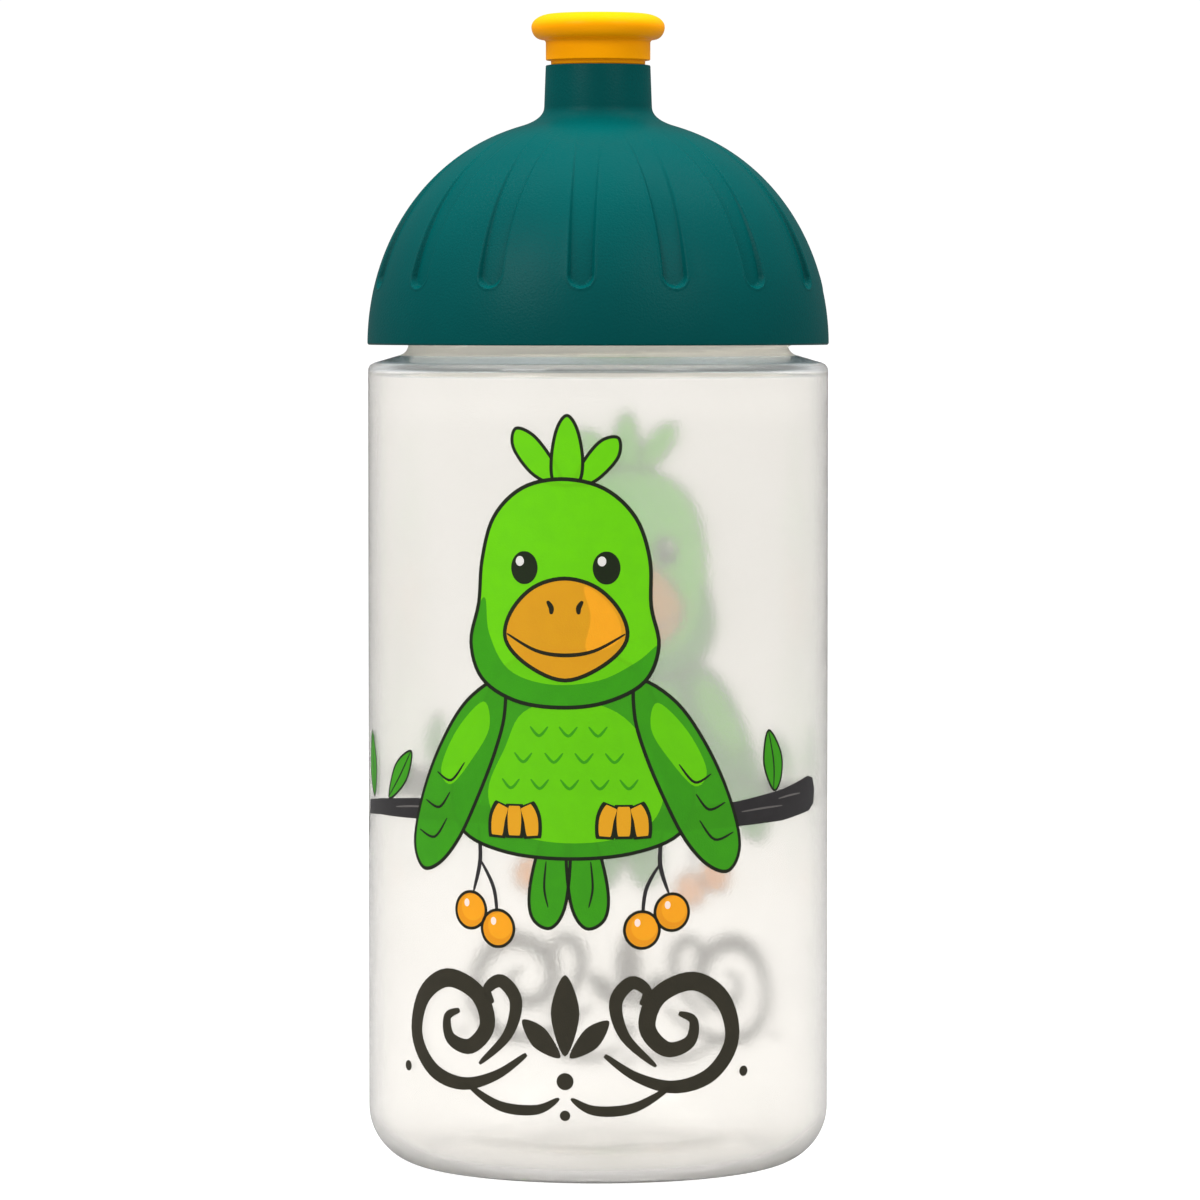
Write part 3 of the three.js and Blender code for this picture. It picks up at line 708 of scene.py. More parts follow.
def inner_dome(start, end, steps):
    """The dome's inside between two heights over the rim."""
    turns = np.linspace(math.asin(start / INNER_TOP), math.asin(end / INNER_TOP), steps)
    levels = [INNER_TOP * math.sin(t) for t in turns]
    return [(dome_radius(level, INNER, INNER_TOP), RIM_Z + level) for level in levels]


above_seat = inner_dome(dome_height(BOSS, INNER, INNER_TOP), SEAT_TOP - RIM_Z, 14)
seat = [(SEAT_EDGE, SEAT_TOP), (SEAT_EDGE, SEAT_Z), (SKIRT_BORE, SEAT_Z)]
bore = ramp((SKIRT_BORE, SEAT_Z), (SKIRT_BORE, RIM_Z + 0.9), 0.26)
skirt = [(SKIRT_BORE + 0.2, SKIRT_Z), (SKIRT, SKIRT_Z)]
below_seat = inner_dome(dome_height(SKIRT, INNER, INNER_TOP), 0.0, 6)
cap_profile = dome_outside + tower_outside + tower_inside + above_seat + seat + bore + skirt + below_seat
bore_first = len(cap_profile) - len(below_seat) - len(skirt) - len(bore)
print("the cap's profile has", len(cap_profile), "points")

# %% Lay out one sector of the cap
WIDEST = math.radians(10.2)
EDGE_COLUMNS = [0.0, 0.4, 0.8, 1.2, 1.5, 1.65, 1.75, 1.84, 1.93, 2.01, 2.09, 2.17, 2.26, 2.37, 2.5]
LAND_COLUMNS = 3


def sector_turns(radius):
    """The angles of a sector's columns at a radius: along the flute's edges, then over the land."""
    squeeze = min(1.0, WIDEST / math.asin(min(1.0, EDGE_COLUMNS[-1] / radius)))
    half = [math.asin(min(1.0, across / radius)) * squeeze for across in EDGE_COLUMNS]
    end = math.pi / FLUTES
    half += [half[-1] + (end - half[-1]) * i / LAND_COLUMNS for i in range(1, LAND_COLUMNS + 1)]
    return [-t for t in reversed(half[1:])] + half


sector_points = []
sector_marks = []
for row, (radius, height) in enumerate(cap_profile):
    for t in sector_turns(radius):
        cut = flute_depth(radius * math.sin(t), height - RIM_Z) if row < len(dome_outside) else 0.0
        near = radius - cut
        sector_points.append((near * math.cos(t) * MM, near * math.sin(t) * MM, height * MM))
        sector_marks.append(float(bore_first <= row < bore_first + len(bore)))
wide = len(sector_turns(10.0))
sector_faces = []
for row in range(len(cap_profile)):
    low, high = row * wide, (row + 1) % len(cap_profile) * wide
    sector_faces += [(low + i, low + i + 1, high + i + 1, high + i) for i in range(wide - 1)]
sector_mesh = bpy.data.meshes.new("cap_shell")
sector_mesh.from_pydata(sector_points, [], sector_faces)
sector_mesh.attributes.new("threaded", "FLOAT", "POINT").data.foreach_set("value", sector_marks)
print("one sector has", len(sector_points), "points in", wide, "columns")

# %% Build the tree that repeats a sector
round_tree, given = start_geometry_tree(
    "repeat_round",
    {"Count": "count", "First Angle": "length", "Weld Distance": "length", "Finish": "finish"},
)
copies = copy_round(round_tree, given["Geometry"], given["Count"], given["First Angle"])
real = add_node(round_tree, "GeometryNodeRealizeInstances", [copies]).outputs[0]
welded = add_node(
    round_tree, "GeometryNodeMergeByDistance", {"Geometry": real, "Distance": given["Weld Distance"]}
).outputs[0]
end_geometry_tree(round_tree, welded, given["Finish"])
print("repeat_round has", len(round_tree.nodes), "nodes")

# %% Repeat the sector and wind the cap's thread
cap_shell = as_object("cap_shell", sector_mesh)
use_tree(
    cap_shell,
    round_tree,
    {"Count": FLUTES, "First Angle": FLUTE_ANGLE, "Weld Distance": 0.002 * MM, "Finish": teal},
)
# With the cap shut, its ridge lies this far under the neck's, so the two never touch.
THREAD_DROP = 2.1
cap_start = SKIRT_Z + 1.8
cap_end = LIP_Z - THREAD_ROOM - THREAD_DROP / 2
cap_angle = THREAD_START + (cap_start + THREAD_DROP - neck_start) / LEAD * 2 * math.pi
use_tree(cap_shell, thread_tree, thread_sizes(SKIRT_BORE, cap_start, cap_end, cap_angle, -1.0, teal))
settle(cap_shell)
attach(cap_shell, "cap")
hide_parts("cap_dome")

# %% [markdown]
# ## The mouthpiece
# The mouthpiece is turned: a rounded flange for the teeth, a collar, a narrow waist where it meets the
# tower, and the hidden stem with its seal groove and the barb that stops it coming out. Its corners are
# softly rounded, because it goes in the mouth.

# %% Turn the mouthpiece
STEM = 6.95
STEM_BORE = 4.9
BARB = 7.65
GROOVE = 5.8
HALF_GROOVE = 0.78
WAIST = 7.35
COLLAR = 8.15
FLANGE = 10.4
MOUTH = 2.75
waist_z = TOWER_TOP_Z + 0.1
collar_z = waist_z + 0.65
flange_z = collar_z + 3.15
widest_z = flange_z + 2.05
barb_z = LEDGE_Z - 6.1
stem_profile = broken(
    [
        (STEM_BORE, STEM_END_Z), (STEM, STEM_END_Z), (BARB, barb_z - 0.4), (BARB, barb_z), (STEM, barb_z),
        (STEM, RING_Z - HALF_GROOVE), (GROOVE, RING_Z - HALF_GROOVE),
        (GROOVE, RING_Z + HALF_GROOVE), (STEM, RING_Z + HALF_GROOVE),
        (STEM, waist_z), (WAIST, waist_z), (WAIST, collar_z), (COLLAR, collar_z), (COLLAR, flange_z),
    ],
    0.22,
)
mouth_profile = stem_profile[2:-4]
under = flange_z + 0.08
mouth_profile += fillet((COLLAR, flange_z - 0.45), (COLLAR, flange_z), (COLLAR + 0.6, under), 5)
mouth_profile += quarter((COLLAR + 0.6, under), (FLANGE, under), (FLANGE, widest_z), 12)[1:]
mouth_profile += quarter((FLANGE, widest_z), (FLANGE, MOUTH_TOP_Z), (FLANGE - 3.4, MOUTH_TOP_Z), 14)[1:]
mouth_profile += quarter((MOUTH + 0.8, MOUTH_TOP_Z), (MOUTH, MOUTH_TOP_Z), (MOUTH, MOUTH_TOP_Z - 0.8), 6)
throat_z = MOUTH_TOP_Z - 3.3
mouth_profile += fillet((MOUTH, throat_z + 0.2), (MOUTH, throat_z), (MOUTH + 0.15, throat_z - 0.1), 3)
chamber_z = MOUTH_TOP_Z - 5.35
chamber_edge = (STEM_BORE - 0.2, chamber_z + 0.2)
mouth_profile += fillet(chamber_edge, (STEM_BORE, chamber_z), (STEM_BORE, chamber_z - 0.25), 3)
mouth_profile += [(STEM_BORE, STEM_END_Z + 0.2)]
mouth = turn("mouthpiece_shell", mouth_profile, columns=160)
mouth.data.materials.append(yellow)
settle(mouth)
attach(mouth, "mouthpiece")
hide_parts("mouthpiece")

# %% [markdown]
# ## The seals
# A flat silicone gasket seals the lip against the cap's seat, and a small ring seals the stem in its bore.
# Both are plain turnings, with the gasket's edges broken and the ring's section round.

# %% Turn the gasket and the stem's ring
GASKET_IN, GASKET_OUT = 27.3, 30.9
gasket_top = GASKET_Z + 1.4
gasket_profile = broken(
    [(GASKET_IN, GASKET_Z), (GASKET_OUT, GASKET_Z), (GASKET_OUT, gasket_top), (GASKET_IN, gasket_top)], 0.25
)
gasket = turn("gasket_ring", gasket_profile, columns=160)
gasket.data.materials.append(silicone)
settle(gasket)
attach(gasket, "cap_lifter")
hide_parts("cap_gasket")
RING, CORD = 6.5, 0.62
turns = np.linspace(0, 2 * math.pi, 20, endpoint=False)
ring_profile = [(RING + CORD * math.cos(t), RING_Z + CORD * math.sin(t)) for t in turns]
ring = turn("stem_ring", ring_profile, columns=120)
ring.data.materials.append(silicone)
settle(ring)
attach(ring, "mouthpiece_slider")
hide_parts("stem_oring")

# %% [markdown]
# ## The valve post
# Under the tower a small spider clips round the boss and holds a post in the middle. The post's plug fills
# the mouth while the mouthpiece is down, and water flows past the spokes once it is up. The ring and the post
# are turned. The spokes repeat by a rule, so a tree places them and joins all three into one solid.

# %% Turn the post and the spider's ring
spider_top = SPIDER_Z + 1.7
plug_foot = PLUG_TOP_Z - 2.8
HUB, POST, PLUG = 3.0, 1.7, 2.6
post_profile = [(0, SPIDER_Z)] + fillet((HUB - 0.3, SPIDER_Z), (HUB, SPIDER_Z), (HUB, SPIDER_Z + 0.3), 3)
post_profile += fillet((HUB, spider_top - 0.2), (HUB, spider_top), (HUB - 0.2, spider_top), 3)
post_profile += fillet((HUB - 0.25, spider_top + 0.01), (POST, spider_top), (POST, spider_top + 1.2), 6)
post_profile += fillet((POST, plug_foot - 1.2), (POST, plug_foot - 0.9), (POST + 0.2, plug_foot - 0.7), 3)
post_profile += fillet((PLUG - 0.2, plug_foot - 0.2), (PLUG, plug_foot), (PLUG, plug_foot + 0.3), 3)
post_profile += quarter((PLUG, PLUG_TOP_Z - 0.9), (PLUG, PLUG_TOP_Z), (PLUG - 0.9, PLUG_TOP_Z), 8)
post_profile += [(0, PLUG_TOP_Z)]
post = turn("valve_spider", post_profile, columns=72)
rim_profile = broken(
    [
        (8.0, SPIDER_Z), (11.2, SPIDER_Z), (11.2, spider_top + 3.4),
        (9.9, spider_top + 3.4), (9.9, spider_top), (8.0, spider_top),
    ],
    0.2,
)
rim = turn("spider_ring", rim_profile, columns=72)

# %% Build the tree that sets spokes between a post and a ring
spoke_tree, given = start_geometry_tree(
    "set_spokes",
    {
        "Count": "count",
        "Width": "length",
        "Thickness": "length",
        "Reach": "length",
        "Height": "length",
        "Finish": "finish",
    },
)
outer_ring = add_node(spoke_tree, "GeometryNodeObjectInfo", {"Object": rim}).outputs["Geometry"]
spoke_size = join_xyz(spoke_tree, given["Reach"], given["Width"], given["Thickness"])
spoke = add_node(spoke_tree, "GeometryNodeMeshCube", {"Size": spoke_size}).outputs["Mesh"]
half_reach = work_out(spoke_tree, "MULTIPLY", given["Reach"], 0.5)
shift = join_xyz(spoke_tree, half_reach, 0.0, given["Height"])
spoke = add_node(spoke_tree, "GeometryNodeTransform", {"Geometry": spoke, "Translation": shift}).outputs[0]
spokes = copy_round(spoke_tree, spoke, given["Count"])
spokes = add_node(spoke_tree, "GeometryNodeRealizeInstances", [spokes]).outputs[0]
union = add_node(spoke_tree, "GeometryNodeMeshBoolean", operation="UNION", solver="EXACT")
for solid in (given["Geometry"], outer_ring, spokes):
    spoke_tree.links.new(solid, union.inputs["Mesh 2"])
end_geometry_tree(spoke_tree, union.outputs[0], given["Finish"])
print("set_spokes has", len(spoke_tree.nodes), "nodes")

# %% Set the spokes and join the spider
use_tree(
    post,
    spoke_tree,
    {
        "Count": 3,
        "Width": 2.2 * MM,
        "Thickness": 1.66 * MM,
        "Reach": 9.6 * MM,
        "Height": (SPIDER_Z + 0.85) * MM,
        "Finish": dark_teal,
    },
)
settle(post)
bpy.data.objects.remove(rim)
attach(post, "cap")
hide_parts("valve_post")

# %% [markdown]
# ## The print
# Such bottles are screen printed, one colour after another, with the same picture on both sides. The picture
# here is a plain perched bird on a branch over a scroll. It could be a painted pattern in the wall's own
# shader, but ink is a nearly opaque film on a clear wall, and it is seen from both sides. So each colour is
# a real film that lets a little light through. Shapes are drawn flat in millimetres, and a tree rolls them
# round the bottle, gives them thickness and repeats them on the back. Later layers are a few thousandths of
# a millimetre thicker both ways, so they win wherever shapes overlap.

# %% Draw with smooth lines


def smooth(points, closed=True, steps=6):
    """Points on a smooth line that passes through all the given points."""
    points = [np.array(p, float) for p in points]
    count = len(points)
    path = []
    for i in range(count if closed else count - 1):
        if closed:
            a, b, c, d = (points[(i + k) % count] for k in (-1, 0, 1, 2))
        else:
            a, b, c, d = (points[min(max(i + k, 0), count - 1)] for k in (-1, 0, 1, 2))
        for s in np.arange(steps) / steps:
            bend = 2 * a - 5 * b + 4 * c - d
            twist = 3 * b - a - 3 * c + d
            path.append(0.5 * (2 * b + (c - a) * s + bend * s * s + twist * s**3))
    return path if closed else path + [points[-1]]


artwork = {}
SMALLEST_AREA = 1e-6


def ink_shape(ink, layer, points, faces):
    """Add flat faces to one ink's artwork, each turned to face the viewer."""
    sheet = artwork.setdefault(ink, {"points": [], "layers": [], "faces": []})
    first = len(sheet["points"])
    sheet["points"] += [(p[0], p[1], 0.0) for p in points]
    sheet["layers"] += [float(layer)] * len(points)
    for face in faces:
        loop = [points[i] for i in face]
        area = sum(p[0] * q[1] - q[0] * p[1] for p, q in zip(loop, loop[1:] + loop[:1]))
        if abs(area) > SMALLEST_AREA:
            sheet["faces"].append([first + i for i in (face if area > 0 else face[::-1])])


def fill(ink, layer, points, soft=True):
    """Fill a closed outline, smooth or with straight sides."""
    path = smooth(points) if soft else [np.array(p, float) for p in points]
    ink_shape(ink, layer, path, tessellate_polygon([[Vector((p[0], p[1], 0)) for p in path]]))


def brush(ink, layer, points, width, closed=False, taper=0.35):
    """A stroke along a line; an open one thins towards its ends."""
    path = smooth(points, closed)
    left, right = [], []
    for i, here in enumerate(path):
        before = path[i - 1] if closed or i else here
        after = path[(i + 1) % len(path)] if closed or i < len(path) - 1 else here
        along = (after - before) / (np.linalg.norm(after - before) + 1e-9)
        swell = 1.0 if closed else taper + (1 - taper) * math.sin(math.pi * i / (len(path) - 1)) ** 0.7
        side = np.array([-along[1], along[0]]) * width * swell / 2
        left.append(here + side)
        right.append(here - side)
    count = len(path)
    last = count if closed else count - 1
    faces = [(i, (i + 1) % count, count + (i + 1) % count, count + i) for i in range(last)]
    ink_shape(ink, layer, left + right, faces)


def both_sides(points, middle=-1.0):
    """The same points, and the same points on the other side of a middle line, as a rule the bird's."""
    return [points, [(2 * middle - u, v) for u, v in points]]


def oval(u, v, wide, tall):
    """Points round an oval."""
    turns = np.linspace(0, 2 * math.pi, 10, endpoint=False)
    return [(u + wide * math.cos(t), v + tall * math.sin(t)) for t in turns]


# %% Draw the branch, its leaves and berries
branch = [
    (-47, 57.2), (-40, 57.9), (-28, 58.7), (-10, 58.1), (10, 57.6), (26, 58.6), (36, 60.0), (43.6, 61.6),
    (45.6, 61.2), (46.4, 59.4), (46.0, 57.2), (44.2, 56.2), (36, 55.2), (20, 54.6), (0, 54.9), (-20, 55.6),
    (-40, 55.4), (-47.6, 55.0),
]
fill("bark_ink", 0, branch, soft=False)
brush("bark_ink", 0, [(-46.5, 56.3), (-48.2, 54), (-49, 51.6)], 0.6)
for u, v, long in ((-34, 57, 9), (-9, 56.3, 7), (27, 57, 9), (35, 58.6, 6)):
    brush("bark_light_ink", 1, [(u, v), (u + long / 2, v + 0.35), (u + long, v + 0.5)], 0.3)
leaves = [
    [(-43.6, 58.2), (-46.2, 62.2), (-45.0, 68.2), (-42.3, 63.8), (-42.4, 59.8)],
    [(-36.5, 58.4), (-34.2, 63.4), (-29.6, 65.8), (-30.6, 61.8), (-33.6, 59.2)],
    [(33.8, 60.0), (31.6, 64.2), (32.6, 69.2), (35.6, 65.6), (35.6, 61.8)],
]
for leaf in leaves:
    fill("leaf_ink", 2, leaf)
    brush("line_ink", 3, leaf, 0.35, closed=True)
    brush("line_ink", 3, [leaf[0], np.mean(leaf, axis=0), leaf[2]], 0.3)
for stem, berries in (
    ([(-15.5, 55.2), (-15.2, 50), (-16.4, 45)], [(-16.9, 42.2), (-12.2, 39.6)]),
    ([(13.4, 54.8), (13.0, 49.6), (14.4, 45)], [(14.9, 42.2), (10.2, 39.6)]),
):
    brush("bark_ink", 1, stem, 0.7)
    brush("bark_ink", 1, [stem[1], (berries[1][0] * 0.8 + stem[1][0] * 0.2, 45.5), berries[1]], 0.6)
    for u, v in berries:
        fill("beak_shade_ink", 2, oval(u, v, 2.7, 2.8))
        fill("beak_ink", 3, oval(u + 0.35, v + 0.4, 2.0, 2.0))
        fill("white_ink", 4, oval(u - 0.7, v + 1.1, 0.45, 0.6))
        brush("line_ink", 4, oval(u, v, 2.7, 2.8), 0.45, closed=True)

# %% Draw the bird's tail, body and wings
for feather in both_sides([(-0.9, 54), (-1.3, 44), (-3.6, 39.9), (-6.6, 41.4), (-6.9, 46.4), (-4.6, 54)]):
    fill("leaf_ink", 2, feather)
    brush("line_ink", 3, feather, 0.5, closed=True)
brush("line_ink", 3, [(-4.4, 50), (-4.7, 46), (-4.1, 43)], 0.35)
brush("line_ink", 3, [(2.4, 50), (2.7, 46), (2.1, 43)], 0.35)
body = [
    (-10, 80), (-15, 73), (-18.6, 66), (-20.4, 59.5), (-18, 54), (-10.5, 51.2), (-1, 50.4), (8.5, 51.2),
    (16, 54), (18.4, 59.5), (16.6, 66), (13, 73), (8, 80), (-1, 82),
]
belly = [
    (-1, 74.5), (6.5, 72.5), (11.4, 67), (13.6, 60.5), (11.2, 55.4), (4.5, 53.1), (-4.5, 53.0),
    (-11.5, 55.2), (-13.8, 60.5), (-11.0, 67), (-8.0, 72.5),
]
fill("leaf_ink", 4, body)
fill("bright_ink", 5, belly)
brush("line_ink", 6, body, 0.55, closed=True)
for v, across in ((69.5, (-5.5, -1, 3.5)), (65.5, (-8, -3.2, 1.4, 6)), (61.5, (-10, -5.4, -0.8, 3.8, 8.2))):
    for u in across:
        brush("leaf_ink", 6, [(u - 1.4, v + 0.9), (u, v - 0.5), (u + 1.4, v + 0.9)], 0.45)
wing = [
    (-11.6, 77.5), (-17.6, 74), (-22.8, 67), (-26.8, 59), (-28.6, 52), (-26.6, 48.2), (-22.8, 49.2),
    (-19, 53.2), (-15.6, 59.5), (-12.6, 66.5), (-11, 72.5),
]
wing_patch = [(-14.6, 74), (-19.4, 69.6), (-22.6, 63.6), (-20.6, 61.2), (-16.6, 65.2), (-13.6, 70)]
for shape in both_sides(wing):
    fill("leaf_ink", 7, shape)
    brush("line_ink", 9, shape, 0.55, closed=True)
for shape in both_sides(wing_patch):
    fill("bright_ink", 8, shape)
for line in (
    [(-25.9, 58.6), (-23.0, 57.6), (-20.8, 60)], [(-27.4, 54), (-24.0, 53), (-21.4, 56)],
    [(-23.4, 63), (-20.6, 61.8), (-18.0, 64.6)],
):
    for shape in both_sides(line):
        brush("line_ink", 9, shape, 0.4)

# %% Draw the bird's head
for layer, shape in (
    (2, [
        (-3.4, 107.0), (-6.8, 108.8), (-9.6, 112.6), (-9.2, 115.4), (-6.4, 114.4), (-3.6, 111), (-2.0, 107.6),
    ]),
    (2, [(0.0, 107.4), (1.4, 110.6), (4.0, 113.6), (6.6, 114), (6.6, 111.2), (4.0, 108.2), (1.6, 106.9)]),
    (4, [
        (-3.0, 107.2), (-3.6, 110.5), (-2.8, 115.2), (-1.2, 117.4), (0.4, 115.2), (1.2, 110.5), (0.4, 107.2),
    ]),
):
    fill("bright_ink", layer, shape)
    brush("line_ink", layer + 1, shape, 0.5, closed=True)
head = [
    (-2, 107.8), (4.4, 106.4), (9.2, 102), (11.4, 95.6), (11.6, 88.6), (12.8, 82.6), (10.6, 77.2),
    (4.6, 74.1), (-2.4, 73.3), (-9.4, 74.3), (-14.9, 77.6), (-16.8, 83), (-15.4, 89), (-14.8, 95.6),
    (-12.8, 102), (-8.2, 106.4),
]
chin = [
    (-16.7, 83), (-14.9, 77.7), (-9.4, 74.4), (-2.4, 73.4), (4.6, 74.2), (10.5, 77.3), (12.7, 82.6),
    (9.4, 80.2), (3.6, 77.4), (-4, 76.8), (-10.4, 79), (-13.6, 84.4), (-14.2, 89.5), (-15.3, 88.6),
]
fill("bright_ink", 10, head)
fill("leaf_ink", 11, chin)
brush("line_ink", 12, head, 0.6, closed=True)
for u in (-7.8, 4.8):
    fill("line_ink", 14, oval(u, 94.4, 2.1, 2.5))
    fill("white_ink", 15, oval(u - 0.7, 95.4, 0.65, 0.75))
beak = [
    (-1.5, 92.8), (3.4, 91.4), (7.0, 87.6), (7.8, 83.4), (4.2, 79.6), (-1.5, 77.4), (-7.2, 79.6),
    (-10.8, 83.4), (-10.0, 87.6), (-6.4, 91.4),
]
beak_light = [(1.4, 91.6), (4.8, 89.4), (6.8, 86.2), (6.6, 83.4), (3.4, 81.8), (1.6, 82.4), (2.4, 87)]
fill("beak_shade_ink", 16, beak)
fill("beak_ink", 17, beak_light)
brush("line_ink", 18, beak, 0.6, closed=True)
brush("line_ink", 18, [(-10.6, 84.4), (-6, 81.9), (-1.5, 81.2), (3, 81.9), (7.6, 84.4)], 0.6)
brush("line_ink", 18, [(-4.2, 89.4), (-3.6, 88.4), (-3.6, 87.4)], 0.8)
brush("line_ink", 18, [(1.2, 89.4), (0.6, 88.4), (0.6, 87.4)], 0.8)

# %% Draw the feet on the branch
for middle in (-9.4, 7.4):
    for lean in (-2.6, 0.0, 2.6):
        toe = [(middle + lean * 0.7, 58.6), (middle + lean, 56.4), (middle + lean * 1.1, 53.4)]
        brush("line_ink", 19, toe, 3.3, taper=0.8)
        brush("beak_ink", 20, [(u, v * 0.86 + 7.9) for u, v in toe], 2.2, taper=0.75)

# %% Draw the scroll under the bird
SCROLL_MIDDLE = -1.5
scroll = [
    (-7.5, 20.6), (-12.5, 17.2), (-18.5, 15.6), (-24.6, 17.4), (-28.2, 22.4), (-26.6, 28.4), (-21.4, 31.6),
    (-15.8, 29.6), (-14.0, 24.8), (-17.0, 21.4), (-20.8, 22.4), (-21.4, 25.6), (-19.0, 26.8),
]
curl = [(-15.4, 18.8), (-10.6, 23.4), (-9.2, 28.6), (-11.6, 31.6), (-14.0, 30.2), (-13.0, 28.2)]
for shape, width in ((scroll, 2.3), (curl, 1.7), ([(-18, 15.8), (-12, 12.6), (-6, 12.2), (-2.4, 14)], 1.3)):
    for mirrored in both_sides(shape, SCROLL_MIDDLE):
        brush("script_ink", 0, mirrored, width * 1.25, taper=0.2)
fill("script_ink", 0, [(SCROLL_MIDDLE, 32.8), (0.7, 27), (SCROLL_MIDDLE, 20.4), (-3.7, 27)])
for petal in both_sides([(-2.2, 20.2), (-6.4, 21.8), (-8.2, 25.8), (-4.6, 24.6)], SCROLL_MIDDLE):
    fill("script_ink", 0, petal)
fill("script_ink", 0, oval(SCROLL_MIDDLE, 16.6, 1.3, 1.3))
for u, v in ((-30.4, 17.4), (27.4, 17.4), (SCROLL_MIDDLE, 11.4)):
    fill("script_ink", 0, oval(u, v, 0.8, 0.8))
print("the artwork has", {ink: len(sheet["faces"]) for ink, sheet in artwork.items()}, "faces")

# %% Build the tree that rolls artwork round the bottle
roll_tree, given = start_geometry_tree(
    "roll_print",
    {
        "Radius": "length",
        "Turn": "length",
        "Sink": "length",
        "Lift": "length",
        "Layer Step": "length",
        "Weld Distance": "length",
        "Copies": "count",
        "Finish": "finish",
    },
)
place = roll_tree.nodes.new("GeometryNodeInputPosition").outputs[0]
across, up, _ = add_node(roll_tree, "ShaderNodeSeparateXYZ", [place]).outputs
layer = add_node(roll_tree, "GeometryNodeInputNamedAttribute", {"Name": "layer"}, data_type="FLOAT")
step = work_out(roll_tree, "MULTIPLY", layer.outputs[0], given["Layer Step"])
angle = work_out(roll_tree, "DIVIDE", across, given["Radius"])
inner = work_out(roll_tree, "SUBTRACT", work_out(roll_tree, "SUBTRACT", given["Radius"], given["Sink"]), step)
sideways = work_out(roll_tree, "MULTIPLY", inner, work_out(roll_tree, "SINE", angle))
back = work_out(roll_tree, "MULTIPLY", inner, -1.0)
back = work_out(roll_tree, "MULTIPLY", back, work_out(roll_tree, "COSINE", angle))
rolled_place = join_xyz(roll_tree, sideways, back, up)
rolled = add_node(
    roll_tree, "GeometryNodeSetPosition", {"Geometry": given["Geometry"], "Position": rolled_place}
).outputs[0]
film = work_out(roll_tree, "ADD", given["Sink"], given["Lift"])
film = work_out(roll_tree, "MULTIPLY_ADD", step, 2.0, film)
raised = add_node(
    roll_tree, "GeometryNodeExtrudeMesh", {"Mesh": rolled, "Offset Scale": film, "Individual": False}
).outputs[0]
underneath = add_node(roll_tree, "GeometryNodeFlipFaces", [rolled]).outputs[0]
whole = roll_tree.nodes.new("GeometryNodeJoinGeometry")
for part in (raised, underneath):
    roll_tree.links.new(part, whole.inputs[0])
closed = add_node(
    roll_tree,
    "GeometryNodeMergeByDistance",
    {"Geometry": whole.outputs[0], "Distance": given["Weld Distance"]},
).outputs[0]
copies = copy_round(roll_tree, closed, given["Copies"], given["Turn"])
end_geometry_tree(roll_tree, copies, given["Finish"])
print("roll_print has", len(roll_tree.nodes), "nodes")

# %% Mix the inks and print them
INKS = {
    "bark_ink": ((48, 46, 47), (58, 56, 57)),
    "bark_light_ink": ((112, 108, 106), (98, 94, 92)),
    "leaf_ink": ((62, 162, 18), (56, 150, 20)),
    "bright_ink": ((112, 214, 0), (104, 204, 4)),
    "beak_shade_ink": ((238, 160, 26), (228, 152, 26)),
    "beak_ink": ((250, 178, 32), (244, 170, 30)),
    "white_ink": ((250, 247, 242), (244, 240, 234)),
    "line_ink": ((30, 34, 22), (40, 44, 30)),
    "script_ink": ((58, 54, 42), (48, 46, 36)),
}


STRIP_WIDTH = 0.9
STRIP_END = 50.4


def flat_sheet(ink, sheet):
    """The flat mesh of one ink, cut into narrow strips so that it can bend."""
    mesh = bpy.data.meshes.new(ink)
    mesh.from_pydata([(u * MM, v * MM, w) for u, v, w in sheet["points"]], [], sheet["faces"])
    mesh.attributes.new("layer", "FLOAT", "POINT").data.foreach_set("value", sheet["layers"])
    work = bmesh.new()
    work.from_mesh(mesh)
    for cut in np.arange(-STRIP_END, STRIP_END + 0.1, STRIP_WIDTH):
        parts = work.verts[:] + work.edges[:] + work.faces[:]
        bmesh.ops.bisect_plane(work, geom=parts, dist=1e-7, plane_co=(cut * MM, 0, 0), plane_no=(1, 0, 0))
    work.to_mesh(mesh)
    work.free()
    return mesh


for ink, sheet in artwork.items():
    colour, drift = INKS[ink]
    # Each ink's weak emission in its own colour is a painted glow that brightens the print as more light
    # would.
    film_finish = plastic(
        ink, colour, drift, roughness=0.38, spread=0.1, grain=0.25, bump=0.25, shine=0.25, patch=3.0,
        Transmission_Weight=0.25, IOR=PLASTIC_IOR, Emission_Color=linear(*colour), Emission_Strength=0.18,
    )
    printed = as_object("print_" + ink, flat_sheet(ink, sheet))
    use_tree(
        printed,
        roll_tree,
        {
            "Radius": OUTSIDE * MM,
            "Turn": math.radians(-5.6),
            "Sink": 0.012 * MM,
            "Lift": 0.012 * MM,
            "Layer Step": 0.004 * MM,
            "Weld Distance": 2e-7,
            "Copies": 2,
            "Finish": film_finish,
        },
    )
    settle(printed)
    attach(printed, "bottle")

# %% [markdown]
# ## Floor, light and camera
# The bottle stands on a plain white floor that runs on to a white surround, so nothing but the bottle has
# an edge. Both look white and shine through the bottle, but throw back little light, or the pale floor would
# wash out the cap from below. Two overhead lights do most of the lighting and are left out of reflections,
# because they would grey the top of the dome. Two weak ones in front give the dome its satin patches. The
# camera is far away with a long lens, as for a catalogue.

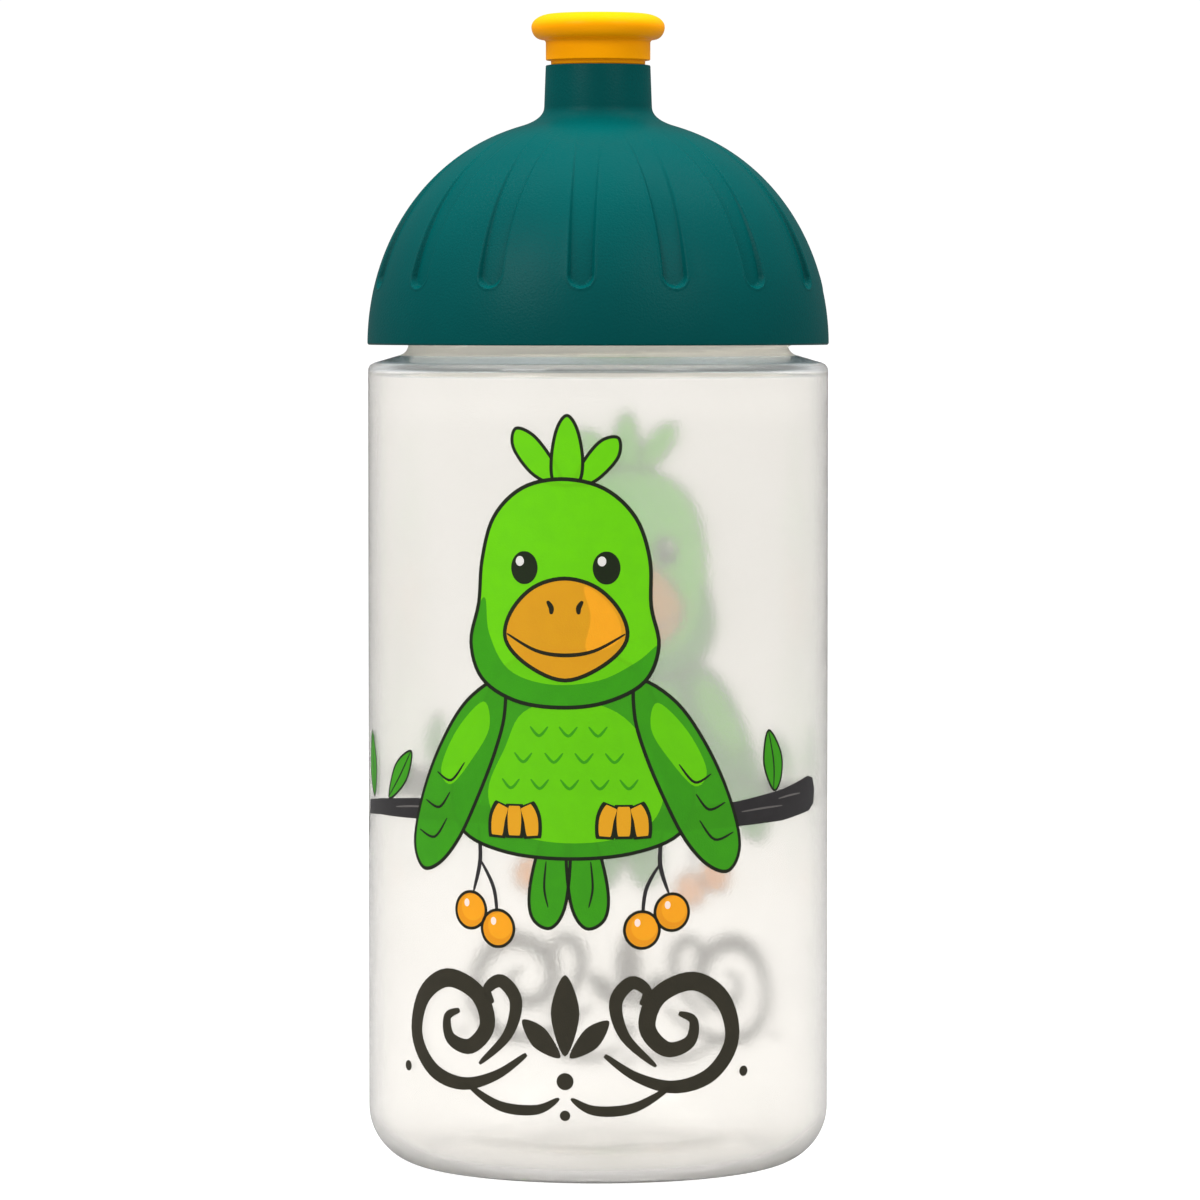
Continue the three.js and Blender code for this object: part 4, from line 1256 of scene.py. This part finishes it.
# %% Lay the floor
FLOOR_GREY = (0.22, 0.22, 0.22, 1)
WHITE = (1, 1, 1, 1)
THROUGH_BOTTLE = 0.6
work = bmesh.new()
bmesh.ops.create_grid(work, x_segments=8, y_segments=8, size=20.0)
floor_mesh = bpy.data.meshes.new("floor")
work.to_mesh(floor_mesh)
work.free()
floor = as_object("floor", floor_mesh)
floor_finish = bpy.data.materials.new("white_floor")
floor_finish.use_nodes = True
floor_shader = floor_finish.node_tree.nodes["Principled BSDF"]
floor_shader.inputs["Base Color"].default_value = FLOOR_GREY
floor_shader.inputs["Roughness"].default_value = 0.9
floor_shader.inputs["Specular IOR Level"].default_value = 0.1
floor_shader.inputs["Emission Color"].default_value = WHITE
floor_tree = floor_finish.node_tree
rays = floor_tree.nodes.new("ShaderNodeLightPath").outputs
seen_through = work_out(floor_tree, "MULTIPLY", rays["Is Transmission Ray"], THROUGH_BOTTLE)
seen = work_out(floor_tree, "ADD", rays["Is Camera Ray"], seen_through)
floor_tree.links.new(seen, floor_shader.inputs["Emission Strength"])
floor_mesh.materials.append(floor_finish)

# %% Set the surround and the soft lights
LIGHT_FROM_ROUND = 0.58
LESS_IN_SHINE = 0.4
SEEN_WHITE = 1.04
scene = bpy.context.scene
world = bpy.data.worlds.new("white_surround")
world.use_nodes = True
scene.world = world
surround = world.node_tree
background = surround.nodes["Background"]
background.inputs["Color"].default_value = WHITE
rays = surround.nodes.new("ShaderNodeLightPath").outputs
for_shine = work_out(surround, "MULTIPLY_ADD", rays["Is Glossy Ray"], -LESS_IN_SHINE, LIGHT_FROM_ROUND)
for_view = work_out(surround, "MAXIMUM", rays["Is Camera Ray"], rays["Is Transmission Ray"])
for_view = work_out(surround, "MULTIPLY", for_view, SEEN_WHITE)
glow = work_out(surround, "MAXIMUM", for_shine, for_view)
surround.links.new(glow, background.inputs["Strength"])


def soft_light(name, place, aim, wide, tall, power):
    """A large rectangular light that looks at a point."""
    light = bpy.data.lights.new(name, "AREA")
    light.shape = "RECTANGLE"
    light.size, light.size_y = wide, tall
    light.energy = power
    lamp = bpy.data.objects.new(name, light)
    scene.collection.objects.link(lamp)
    lamp.location = place
    lamp.rotation_euler = (Vector(aim) - Vector(place)).to_track_quat("-Z", "Y").to_euler()
    return lamp


middle = Vector((0, 0, MOUTH_TOP_Z * MM * 0.5))
for name, across, power in (("left_light", -0.62, 4.6), ("right_light", 0.62, 2.4)):
    soft_light(name, (across, -0.72, 0.72), middle, wide=0.4, tall=0.5, power=power)
for name, across, power in (("top_left_light", -0.35, 9.5), ("top_right_light", 0.35, 8.5)):
    overhead = soft_light(name, (across, 0.1, 1.0), middle, wide=0.5, tall=0.6, power=power)
    overhead.visible_glossy = False

# %% Set up the camera
ASIDE = 0.0003
camera_data = bpy.data.cameras.new("camera")
camera_data.lens = 192
camera_data.sensor_width = 36
camera = bpy.data.objects.new("camera", camera_data)
scene.collection.objects.link(camera)
camera.location = (ASIDE, -1.0, 0.132)
aim = Vector((ASIDE, 0, 0.088))
camera.rotation_euler = (aim - camera.location).to_track_quat("-Z", "Y").to_euler()
scene.camera = camera
scene.view_settings.view_transform = "Standard"
print("camera at", tuple(round(v, 3) for v in camera.location))
